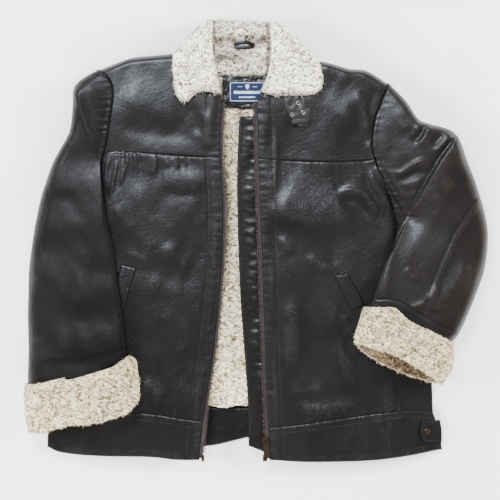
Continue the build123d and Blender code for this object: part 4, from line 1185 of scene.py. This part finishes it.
# %% [markdown]
# ## Sleeve linings
#
# Inside each sleeve is a thinner pile, sewn in at the cuff. It shows only where a cuff's mouth stands open.

# %% Sleeve linings
def sleeve_lining(side, low, top, right, left, across_cells=44, along_cells=70):
    """A slack tube inside the sleeve, from the cuff to below the shoulder."""
    plan = patch_points(low, top, right, left, across_cells, along_cells, crowded(across_cells))
    over, under = sleeve_layers(plan, side)
    middle = (over + under) / 2
    half = np.maximum((over - under) / 2 - 4.5, 0.6)
    relief, depth = pile_relief(plan[..., 0], plan[..., 1], 13)
    points = wrapped(plan, middle + half, middle - half)
    mesh = weld(grid_mesh(points, depth=around(depth)))
    piece = thicken(add_piece(f"{side}_sleeve_pile", mesh, PILE_CUFF), 1.5)
    replaced = [f"{side}_sleeve_lining_top", f"{side}_sleeve_lining_under"]
    declare(piece, None, replaced,
            bend=SHOULDERS[side])


sleeve_lining("right", [(-395, -262), (-344, -249), (-291, -240), (-235, -212)],
              [(-346, 96), (-310, 90), (-280, 86)], [(-395, -262), (-394, -123), (-380, 26), (-346, 96)],
              [(-235, -212), (-249, -88), (-258, -18), (-280, 86)])
sleeve_lining("left", [(206, -126), (237, -128), (269, -148), (304, -164), (334, -182)],
              [(276, 66), (320, 74), (366, 84)], [(206, -126), (216, -88), (244, -20), (276, 66)],
              [(334, -182), (374, -101), (396, -10), (366, 84)])

# %% [markdown]
# ## Cuffs
#
# Each cuff is the end of the pile lining turned back over the leather, so a thick roll of wool stands round
# the end of the sleeve. The wearer's left cuff lies with its mouth open, and the wool inside the mouth is
# painted darker and tan, as painted shade.

# %% Cuffs
CUFF_HEIGHT = [(-410, 40), (-385, 54), (-350, 66), (-300, 74), (-240, 72), (-205, 60), (160, 56), (200, 70),
               (300, 74), (350, 58)]


CUFF_WALL = 9.0


def cuff(side, low, top, right, left, seed, mouth=None, gape=0.0):
    """A turned-back cuff: over the top, round the rolled end and back inside, as one closed tube."""
    n, m = 120, 62
    below = patch_points(low, top, right, left, n, m, crowded(n))
    plan = patch_points(mouth or low, top, right, left, n, m, crowded(n))
    x, y = plan[..., 0], plan[..., 1]
    ground = ground_level(below[..., 0], below[..., 1], side)
    high = across(x, CUFF_HEIGHT, 10) + 1.6 * ripple(x, y, 55, seed)
    side_rim, end = rims(plan)
    v = np.linspace(0, 1, m + 1)[:, None]
    middle = ground + 0.46 * (high - ground)
    swell = rounded(side_rim, 22)
    roll = 1 - 0.3 * (1 - rounded(end, 10))
    relief, depth = pile_relief(x, y, seed, 1.5)
    over = middle + (high - middle) * swell * roll + (relief - 1.6) * (0.2 + 0.8 * swell)
    under = middle - (middle - ground) * swell * (0.5 + 0.5 * roll) + 0.25 * relief
    outer = wrapped(plan, over, np.minimum(under, over - 1), below)
    half = np.maximum((high - ground) / 2 - CUFF_WALL, 0.8) * rounded(side_rim - CUFF_WALL, 22)
    half = half * (0.30 + gape * (1 - v) ** 0.7)
    centre = ground + 0.5 * (high - ground)
    drawn_in = [p + 0.06 * (p.mean(axis=1, keepdims=True) - p) for p in (plan, below)]
    inner = wrapped(drawn_in[0], centre + half, centre - half, drawn_in[1])
    inside = slice(1, int(0.8 * m))
    wool = around(depth)
    # Painted shade: the wool inside the mouth is marked darker and fully tan.
    deep = np.concatenate([wool[::-1], 0.6 * wool[inside]])
    tan = np.concatenate([0 * wool, 0 * wool[inside] + 1])
    rows = np.concatenate([outer[::-1], inner[inside]])
    piece = add_piece(f"{side}_cuff_pile", weld(grid_mesh(rows, depth=deep, tan=tan)), PILE_CUFF)
    declare(piece, f"{side}_sleeve", [f"{side}_cuff"])
    return piece


right_cuff = cuff("right", [(-400, -336), (-367, -333), (-326, -322), (-288, -318), (-256, -311), (-222, -299),
                            (-204, -280)],
                  [(-406, -253), (-379, -250), (-338, -240), (-321, -241), (-274, -228), (-240, -216),
                   (-222, -202), (-209, -209)],
                  [(-400, -336), (-407, -300), (-406, -253)], [(-204, -280), (-203, -250), (-209, -209)], 91,
                  None, 0.1)
left_cuff = cuff("left", [(169, -178), (193, -202), (251, -232), (300, -249), (323, -252)],
                 [(186, -117), (212, -117), (239, -119), (263, -140), (304, -160), (344, -180)],
                 [(169, -178), (176, -148), (186, -117)], [(323, -252), (342, -222), (344, -180)], 95,
                 [(169, -178), (200, -188), (240, -201), (282, -225), (323, -252)], 0.55)
for side, piece, seed in (("right", right_cuff, 101), ("left", left_cuff, 102)):
    declare(locks(f"{side}_cuff_locks", piece, 9, PILE_CUFF, seed), f"{side}_sleeve")
print("sleeves and cuffs made")

# %% [markdown]
# ## Collar
#
# The collar is a padded band of the same pile over leather. Its middle lies flat inside the neck, the stand
# rises at both sides to the roll lines, and the two leaves lie out over the yokes.

# %% Collar
def leaf(side, low, top, right, left, bend, seed, brushed):
    plan = patch_points(low, top, right, left, 92, 92)
    x, y = plan[..., 0], plan[..., 1]
    e = rim(plan)
    crown = (33.5 + 15.5 * rounded(e, 17) + 1.4 * ripple(x, y, 45, seed)
             + 1.5 * fold(x, y, ROLL_LINE[side], 1, 16, 16))
    under = 34.6 - 0.6 * rounded(e, 10) + 0 * x
    # Painted shade along the leaf's rounded edges, on its lower part, away from the light.
    tan = 0.8 * np.clip(1 - e / 12, 0, 1) * ease((310 - y) / 50)
    piece = pile_pad(f"{side}_leaf", plan, crown, under, PILE_COLLAR, seed, 1.2, tan=tan)
    declare(piece, None, [f"{side}_collar_leaf"], bend=bend)
    tufts = locks(f"{side}_leaf_locks", piece, 8.5, PILE_COLLAR, seed + 7, 5.4, 2.0, brushed, 0.1)
    declare(tufts, None, bend=bend)
    hide = leather_panel(f"{side}_under_leaf", 0.985 * plan + 0.015 * plan.mean(axis=(0, 1)),
                         lambda x, y: 33.6 + 0 * x, EDGE_LEATHER, 1.0)
    declare(hide, None, [f"{side}_under_collar"], bend=bend)


ROLL_LINE = {"right": [(-82, 384), (-84, 330), (-82, 262)], "left": [(30, 382), (32, 330), (30, 258)]}
RIGHT_ROLL = ("torso", "right_collar", Vector((-0.074, 0.3, 0.034)), Vector((-0.088, 0.3, 0.034)))
LEFT_ROLL = ("torso", "left_collar", Vector((0.020, 0.3, 0.034)), Vector((0.034, 0.3, 0.034)))
leaf("right", [(-140, 250), (-132, 243), (-122, 240), (-108, 252), (-96, 258), (-78, 257), (-60, 254)],
     [(-146, 330), (-128, 348), (-104, 370), (-76, 388)], [(-140, 250), (-143, 262), (-146, 290), (-146, 330)],
     [(-60, 254), (-66, 280), (-74, 310), (-77, 345), (-76, 388)], RIGHT_ROLL, 111, -1.9)
leaf("left", [(6, 259), (18, 254), (34, 251), (68, 251), (100, 253), (114, 264)],
     [(24, 384), (46, 372), (78, 346), (106, 318)],
     [(6, 259), (14, 276), (22, 296), (26, 320), (25, 350), (24, 384)],
     [(114, 264), (117, 279), (112, 300), (106, 318)], LEFT_ROLL, 117, -1.2)

# %% The middle of the collar, inside the neck
inner_plan = patch_points([(-90, 290), (-60, 289), (-27, 288), (6, 289), (36, 290)],
                          [(-88, 386), (-60, 388), (-27, 386), (6, 385), (34, 383)],
                          [(-90, 290), (-90, 340), (-88, 386)], [(36, 290), (36, 340), (34, 383)], 110, 84)
x, y = inner_plan[..., 0], inner_plan[..., 1]
rise = np.maximum(ease((-75 - x) / 12), ease((x - 21) / 12))
bands = (3.2 * fold(x, y, [(-84, 366), (-27, 372), (30, 364)], 1, 8, 9, 1.5, 0.1)
         + 3.4 * fold(x, y, [(-84, 332), (-27, 336), (30, 330)], 1, 10, 10, 1.5, 0.1)
         - 2.6 * fold(x, y, [(-84, 350), (-27, 354), (30, 348)], 1, 6, 6, 1.5, 0.1)
         - 2.4 * fold(x, y, [(-84, 315), (-27, 318), (30, 314)], 1, 6, 6, 1.5, 0.1))
crown = 13.5 + 9 * ease((y - 300) / 60) + bands + 19 * rise
crown = 2 + (crown - 2) * (0.3 + 0.7 * rounded(rims(inner_plan)[1], 8))


def painted_shade_bands(x, y):
    """How much painted shade the wool gets: two bands in the hollows across the neck, the lower one fading out
    towards the wearer's left, and a line down each roll.
    """
    fold_shade = 0.9 * np.exp(-((y - 351) / 8) ** 2) + 0.7 * np.exp(-((y - 322) / 9) ** 2) * ease((14 - x) / 60)
    rolls = np.exp(-((x + 77) / 4) ** 2) + np.exp(-((x - 22) / 4.5) ** 2)
    return np.clip(0.14 + 1.2 * fold_shade * (0.8 + 0.3 * ripple(x, y, 20, 137)) + rolls, 0, 0.95)


collar_back = pile_pad("collar_back_pile", inner_plan, crown, 2.2 + 0 * x, PILE_COLLAR, 123, 1.0,
                       tan=painted_shade_bands(x, y))
declare(collar_back, "torso", ["collar_back"])
tufts = locks("collar_back_locks", collar_back, 10, PILE_COLLAR, 131, 5.0, 1.9, lowest=0.1, tan=painted_shade_bands)
declare(tufts, "torso")
hide = leather_panel("collar_back_leather", inner_plan, lambda x, y: 1.9 + 0 * x, EDGE_LEATHER, 1.4)
declare(hide, "torso", ["under_collar_back"])

# %% [markdown]
# ## Neck facing, label and hanger loop
#
# A leather facing closes the lining at the neck, with a woven label on it. The label has no words: a border,
# a few bars and a small plain shield stand in for them, in lighter thread. The hanger loop is a narrow strap
# sewn down at both ends, arched between.

# %% Neck facing, label and loop
facing_plan = patch_points([(-60, 233), (-20, 230), (24, 233)], [(-60, 290), (-20, 288), (24, 290)],
                           [(-60, 233), (-60, 290)], [(24, 233), (24, 290)], 60, 44)
FACING_LEVEL = 16.0
facing = leather_panel(
    "neck_facing", facing_plan,
    lambda x, y: FACING_LEVEL + 0.5 * ripple(x, y, 26, 141) + 0.25 * ripple(x, y, 9, 142), FACING, 1.4, 1.0)
declare(facing, "torso", ["neck_patch"])


def label_height(x, y):
    return 17.4 + 0.3 * ripple(x, y, 30, 143)


def four_sided(low_right, top_right, top_left, low_left, across, along):
    """A patch with straight sides between four corners."""
    return patch_points([low_right, low_left], [top_right, top_left], [low_right, top_right],
                        [low_left, top_left], across, along)


def small_sheet(name, corners, height, material, across=24, along=14, thick=0.5):
    (x0, y0), (x1, y1) = corners
    plan = four_sided((x0, y0), (x0, y1), (x1, y1), (x1, y0), across, along)
    return leather_panel(name, plan, height, material, thick)


def thread_height(x, y):
    """The raised thread of the border, bars and shield."""
    return label_height(x, y) + 0.35


label = small_sheet("label", ((-48, 242), (15, 278)), label_height, LABEL)
declare(label, "torso", ["woven_label"])
BORDERS = (((-46.5, 243.5), (13.5, 244.6)), ((-46.5, 275.4), (13.5, 276.5)), ((-46.5, 244.6), (-45.4, 275.4)),
           ((12.4, 244.6), (13.5, 275.4)), ((-40, 256.5), (7, 261.5)), ((-31, 249.6), (-2, 251.6)),
           ((-33, 268.5), (-25, 269.5)), ((-7, 268.5), (1, 269.5)))
for i, corners in enumerate(BORDERS):
    strip = small_sheet(f"label_border_{i + 1}", corners, thread_height, BORDER, 22, 22, 0.3)
    declare(strip, "torso")
crest_plan = patch_points([(-17.4, 265.4), (-16.0, 264.6), (-14.6, 265.4)],
                          [(-19.5, 272.6), (-16, 273.2), (-12.5, 272.6)],
                          [(-17.4, 265.4), (-19.6, 268.6), (-19.5, 272.6)],
                          [(-14.6, 265.4), (-12.4, 268.6), (-12.5, 272.6)], 8, 8)
crest = leather_panel("label_crest_plain", crest_plan, thread_height, BORDER, 0.3)
declare(crest, "torso")


def strap_along(name, path, wide, thick, material, steps):
    """A flat strap that follows a path of points in mm, with rounded edges."""
    p = smooth_line(path, steps)
    way = np.gradient(p, axis=0)
    way = way / np.linalg.norm(way, axis=1, keepdims=True)
    side = np.cross(UP, way)
    side = side / np.linalg.norm(side, axis=1, keepdims=True)
    up = np.cross(way, side)
    angle = np.linspace(0, 2 * math.pi, 15)
    a = np.sign(np.cos(angle)) * np.abs(np.cos(angle)) ** 0.5 * wide / 2
    b = np.sign(np.sin(angle)) * np.abs(np.sin(angle)) ** 0.7 * thick / 2
    points = p[:, None] + side[:, None] * a[None, :, None] + up[:, None] * b[None, :, None]
    bm = weld(grid_mesh(points * MM, crease=0.6 * np.abs(np.cos(angle))[None] ** 4 + np.zeros((steps, 1))))
    bmesh.ops.holes_fill(bm, edges=[e for e in bm.edges if e.is_boundary], sides=0)
    bmesh.ops.recalc_face_normals(bm, faces=bm.faces)
    return add_piece(name, bm, material)


# The two strands are drawn wide enough to meet, so the loop's eye is closed with dark leather: a painted shade for
# the shadow inside the loop.
LOOP_PATH = [(-38, 339, 30), (-34, 342, 33), (-22, 344, 35), (-10, 342, 33), (-6, 339, 30), (-10, 336.5, 31),
             (-22, 335.5, 31.5), (-34, 336.5, 31), (-38, 339, 30)]
loop = strap_along("hanger_loop_strap", LOOP_PATH, 6.8, 2.8, FACING, 80)
declare(loop, "torso", ["hanger_loop"])
print("collar and neck made")

# %% [markdown]
# ## Zip
#
# The front closes with a metal zip. Each half is a woven tape sewn under the edge of the front, with teeth
# clamped on its corded edge at a pitch of about 2.5 mm. A leather wind strip is sewn behind the left half.

# %% Zip tapes and teeth
RIGHT_CHAIN = [(-55, 244), (-58, 148), (-53, 52), (-57, -62), (-69, -185), (-83, -281), (-94, -384)]
LEFT_CHAIN = [(-6, 244), (-2.6, 148), (0.7, 52), (4.7, -62), (9.0, -185), (12.4, -281), (16, -384)]
TEETH = (TOOTH_LOW + TOOTH_HIGH) / 2
TOOTH_SIZE = [4.6, 1.45, 2.6]


def moved(line, dx):
    return [(x + dx, y) for x, y in line]


def zip_half(side, chain, towards):
    """Tape and teeth; towards is the direction from the teeth to the leather, -1 or 1 on X."""
    body = f"{side}_front"
    near, far = shares(moved(chain, towards * 0.5), -383, 240), shares(moved(chain, towards * 20), -383, 240)
    pair = (far, near) if towards < 0 else (near, far)
    plan = patch_points([pair[0][0], pair[1][0]], [pair[0][-1], pair[1][-1]], *pair, 12, 250)
    def lie(x, y):
        return TEETH - 0.1 + 0.25 * ripple(y, 0 * x, 14, 151) * np.clip(np.abs(off(x, y, chain)) / 10, 0, 1)
    tape = leather_panel(f"{side}_zip_tape_cloth", plan, lie, TAPE, 0.8)
    declare(tape, body, [f"{side}_zip_tape"])
    line = smooth_line(chain, 249)[3:-4]
    place = np.column_stack([line[:, 0] - towards * 0.6, line[:, 1], np.full(len(line), TEETH)]) * MM
    forward = np.tile([1.0, 0.0, 0.0], (len(line), 1))
    teeth = stamp(f"{side}_zip_teeth_row", TOOTH, place, forward, np.tile(UP, (len(line), 1)),
                  np.array(TOOTH_SIZE) * MM, TEETH_METAL)
    declare(teeth, body, [f"{side}_zip_teeth"])
    path = [(px + towards * 1.6, py, TEETH) for px, py in shares(chain, -377, 240)[::3]]
    declare(strap_along(f"{side}_zip_cord", path, 1.6, 1.8, TAPE, 160), body)


zip_half("right", RIGHT_CHAIN, -1)
zip_half("left", LEFT_CHAIN, 1)
for node in ("right_zip_foot", "left_zip_foot", "zip_slider", "zip_puller"):
    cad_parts[node].data.materials.clear()
    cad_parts[node].data.materials.append(BRASS)

print("zip:", [p.name for p in MADE[-6:]])

# %% Wind strip
strip_left = shares([(-30, 217), (-34, 120), (-33, 34), (-28, -106), (-19, -228), (-15, -290), (-14, -364)],
                    -362, 216)
strip_right = shares(moved(LEFT_CHAIN, 10), -378, 216)
plan = patch_points([strip_left[0], strip_right[0]], [strip_left[-1], strip_right[-1]], strip_left, strip_right,
                    26, 240)


def strip_height(x, y):
    s = np.abs(off(x, y, strip_left))
    wavy = 0.9 * ripple(x, y, 40, 161, 2.5, 1.57) + 0.5 * ripple(y, 0.4 * x, 13, 162)
    return 24.6 + wavy * ease(s / 30) + 0.8 * np.exp(-((s - 3) / 2) ** 2)


strip = leather_panel("wind_strip_leather", plan, strip_height, FACING, 2.0, 1.0)
declare(strip, "left_front", ["wind_strip"])

# %% [markdown]
# ## Pockets, throat strap and hem tab
#
# The pockets are slanted slits with a stitched leather welt. Behind each hangs a cotton bag, inside the
# front. The throat strap hangs from under the left collar leaf with three eyelets and a leather keeper at
# its end, and a short tab with a press stud tightens the hem at the left side.

# %% Pockets
def welt(side, low, top, right, left):
    """A raised leather frame round the pocket's slit, with a groove along it."""
    plan = patch_points(low, top, right, left, 16, 60)
    beside_edge, _ = rims(plan)
    face = (front_height(plan[..., 0], plan[..., 1]) + 0.5 + 1.9 * rounded(rim(plan), 3.2)
            - 0.9 * np.exp(-((beside_edge - 4.5) / 0.9) ** 2))
    over = raised(plan, face)
    piece = thicken(add_piece(f"{side}_welt", grid_mesh(over, crease=creases(over)), BODY_LEATHER), 1.2)
    declare(piece, "torso", [f"{side}_pocket_welt"])


welt("right", [(-270, -181), (-248, -186)], [(-237, -43), (-210, -50)],
     [(-270, -181), (-258, -124), (-245, -72), (-237, -43)],
     [(-248, -186), (-233, -130), (-219, -78), (-210, -50)])
welt("left", [(167, -124), (189, -114)], [(136, -63), (159, -59)],
     [(167, -124), (152, -95), (136, -63)], [(189, -114), (174, -86), (159, -59)])


def bag(side, corners):
    """The cotton bag behind a slit, inside the front."""
    piece = leather_panel(f"{side}_pocket_cloth", four_sided(*corners, 20, 40),
                          lambda x, y: front_height(x, y) - 2.2, POCKETING, 0.8)
    declare(piece, "torso", [f"{side}_pocket_bag"])


bag("right", [(-248, -228), (-234, -62), (-182, -52), (-174, -223)])
bag("left", [(134, -223), (128, -64), (174, -78), (203, -228)])

print("pockets:", [p.name for p in MADE[-4:]])

# %% Throat strap
STRAP_TOP = level("throat_strap", 1)
strap_plan = patch_points([(66, 204), (76, 197), (90, 199)], [(42, 254), (72, 254), (96, 254)],
                          [(66, 204), (54, 222), (42, 254)], [(90, 199), (94, 222), (96, 254)], 44, 48)
x, y = strap_plan[..., 0], strap_plan[..., 1]
side_rim, end = rims(strap_plan)
e = np.minimum(side_rim, end + 30 * (y > 230))
lift = 0.45 * ripple(x, y, 18, 181) + 1.2 * fold(x, y, [(54, 232), (72, 226), (90, 232)], 1, 5, 6)
over = STRAP_TOP - 0.2 + lift - 1.2 * (1 - rounded(e, 2.5)) - 0.6 * np.exp(-((e - 3.6) / 0.8) ** 2)
EYELETS = [(62, 218), (81, 222), (73, 238)]
for px, py in EYELETS:
    over = over - 0.9 * np.exp(-(np.hypot(x - px, y - py) / 4.6) ** 4)
worn = np.concatenate([creases(raised(strap_plan, over)), np.zeros((49, 44))], axis=1)
strap = add_piece("throat_strap_leather", weld(grid_mesh(wrapped(strap_plan, over, over - 2.6), crease=worn)),
                  STRAP_LEATHER)
declare(strap, None, ["throat_strap"],
        bend=("left_collar", "throat_tab", Vector((0.07, 0.254, 0.034)), Vector((0.07, 0.243, 0.034))))


def spun(profile):
    """A round part from its profile, (radius, height) in mm, spun about Z."""
    bm = bmesh.new()
    verts = [bm.verts.new(Vector((r, 0, z)) * MM) for r, z in profile]
    edges = [bm.edges.new(pair) for pair in zip(verts, verts[1:])]
    bmesh.ops.spin(bm, geom=verts + edges, axis=(0, 0, 1), cent=(0, 0, 0), steps=32, angle=2 * math.pi)
    return weld(bm)


def eyelet(name, place, radius=3.8, tube=1.2):
    """A rolled eyelet: a half-round flange that dips into its bore."""
    bm = spun([(radius - 2.0 * tube, -1.6), (radius - 1.6 * tube, 0.1), (radius - tube, 0.75),
               (radius - 0.4 * tube, 0.7), (radius, 0.05)])
    bmesh.ops.translate(bm, verts=bm.verts, vec=Vector(place) * MM)
    return add_piece(name, bm, NICKEL)


for i, (px, py) in enumerate(EYELETS):
    declare(eyelet(f"strap_eyelet_{i + 1}_rolled", (px, py, STRAP_TOP)), "throat_tab",
            [f"strap_eyelet_{i + 1}"])
KEEPER_PATH = [(62, 203.5, 34.0), (65, 205, 36.4), (76, 207, 37.2), (87, 207.5, 36.4), (91, 206, 34.0)]
keeper = strap_along("strap_keeper_leather", KEEPER_PATH, 8.5, 2.6, STRAP_LEATHER, 40)
declare(keeper, "throat_tab", ["strap_keeper"])

print("throat strap:", [p.name for p in MADE[-5:]])

# %% Hem tab
def tab_level(x, y):
    """The hem band under the tab."""
    return np.maximum(body_height(x, y), 9)


tab_plan = patch_points([(293, -356), (310, -358), (327, -357)], [(293, -320), (308, -319), (324, -318)],
                        [(293, -356), (288, -338), (293, -320)], [(327, -357), (327, -338), (324, -318)], 40, 40)
x, y = tab_plan[..., 0], tab_plan[..., 1]
e = rim(tab_plan)
face = tab_level(x, y) + 3.1 + 0.3 * ripple(x, y, 16, 191) - 1.2 * (1 - rounded(e, 2.5))
face = face - 0.5 * np.exp(-((e - 3.6) / 0.8) ** 2)
over = raised(tab_plan, face)
tab = thicken(add_piece("hem_tab_leather", grid_mesh(over, crease=creases(over)), BODY_LEATHER), 2.2)
declare(tab, "side_tab", ["hem_tab"])
stud = spun([(0.0, 1.7), (3.0, 1.6), (4.6, 1.1), (5.6, 0.5), (6.0, 0.0), (5.6, -0.3)])
slope = math.atan2(float(across(np.array([306.0]), HEM)[0] - across(np.array([296.0]), HEM)[0]), 10)
bmesh.ops.rotate(stud, verts=stud.verts, cent=(0, 0, 0), matrix=Matrix.Rotation(-slope, 3, "Y"))
STUD = Vector((301, -338, float(tab_level(np.array([301.0]), np.array([-338.0]))[0]) + 3.4))
bmesh.ops.translate(stud, verts=stud.verts, vec=STUD * MM)
snap = add_piece("hem_tab_stud", stud, BRASS)
declare(snap, "side_tab", ["hem_tab_snap"])

print("hem tab:", [p.name for p in MADE[-2:]])

# %% [markdown]
# ## Stitches
#
# Every seam is topstitched with a heavy dark thread, two rows where the leather is doubled. The stitches are
# small rounded bars laid along the seam lines, on the surface of the leather.

# %% Stitches
def offset_line(line, by):
    p = smooth_line(line, 40)
    way = np.gradient(p, axis=0)
    way = way / np.linalg.norm(way, axis=1, keepdims=True)
    return p + by * np.stack([-way[:, 1], way[:, 0]], axis=1)


SEAM_STITCH, SLEEVE_STITCH, SMALL_STITCH = (3.2, 2.4, 2.0), (3.0, 2.0, 1.8), (2.6, 2.6, 2.4)


def front_stitches(side, seam, band, edge, bend):
    """Two rows under the yoke seam, two over the hem band and two down the zip."""
    sign = -1 if side == "right" else 1
    lines = [offset_line(seam, 3.2), offset_line(seam, 9.0), offset_line(band, -3.2), offset_line(band, -12),
             offset_line(edge, sign * 3.4), offset_line(edge, sign * 25)]
    piece = stitching(f"{side}_front_stitches", lines, front_height, SEAM_STITCH, 4.4, 0.25)
    declare(piece, None, bend=bend)


def sleeve_stitches(side, lines, height):
    piece = stitching(f"{side}_sleeve_stitches", lines, height, SLEEVE_STITCH, 4.4, 0.2)
    declare(piece, None, bend=SHOULDERS[side])


front_stitches("right", RIGHT_YOKE_SEAM, RIGHT_BAND_SEAM, RIGHT_EDGE, RIGHT_BEND)
front_stitches("left", LEFT_YOKE_SEAM, LEFT_BAND_SEAM, LEFT_EDGE, LEFT_BEND)
sleeve_stitches("left", [offset_line(LEFT_ELBOW, 4), offset_line(LEFT_ELBOW, 9), offset_line(LEFT_SEAM[3:], -4),
                         LEFT_CUFF_SEAM], left_sleeve_top)
sleeve_stitches("right", [offset_line(RIGHT_ARMHOLE, 4), [(-369, 88), (-366, 62), (-369, 36), (-377, -20)],
                          [(-400, -244), (-346, -232), (-300, -226), (-230, -194)]], right_sleeve_top)
facing_lines = [[(-58, 235.5), (-20, 233), (22, 235.5)], [(-57.5, 236), (-57.5, 286)],
                [(21.5, 236), (21.5, 286)]]
strap_lines = [[(51, 242), (57, 222), (69, 206)], [(94, 242), (91, 222), (86, 204)]]
tab_lines = [[(297, -322.5), (310, -321.5), (320, -321.5)], [(297, -353.5), (310, -355), (322, -354)],
             [(296.5, -351), (292.5, -338), (296.5, -325)]]
piece = stitching("neck_facing_stitches", facing_lines, lambda x, y: FACING_LEVEL + 0 * x, (3.0, 2.6, 2.4), 4.2, 0.4)
declare(piece, "torso")
piece = stitching("throat_strap_stitches", strap_lines, lambda x, y: STRAP_TOP + 0 * x, SMALL_STITCH, 3.6, 0.3)
declare(piece, "throat_tab")
piece = stitching("hem_tab_stitches", tab_lines, lambda x, y: tab_level(x, y) + 3.0, SMALL_STITCH, 3.6, 0.2)
declare(piece, "side_tab")

print("stitches:", {p.name: len(p.data.vertices) // len(STITCH[0]) for p in MADE[-7:]})

# %% [markdown]
# ## Finish
#
# The pieces are counted, with their faces. Pieces have to stay close to the solid model's box.

# %% Size and finish
bpy.context.view_layer.update()
print(len(MADE), "pieces,", sum(len(p.data.polygons) for p in MADE), "faces")
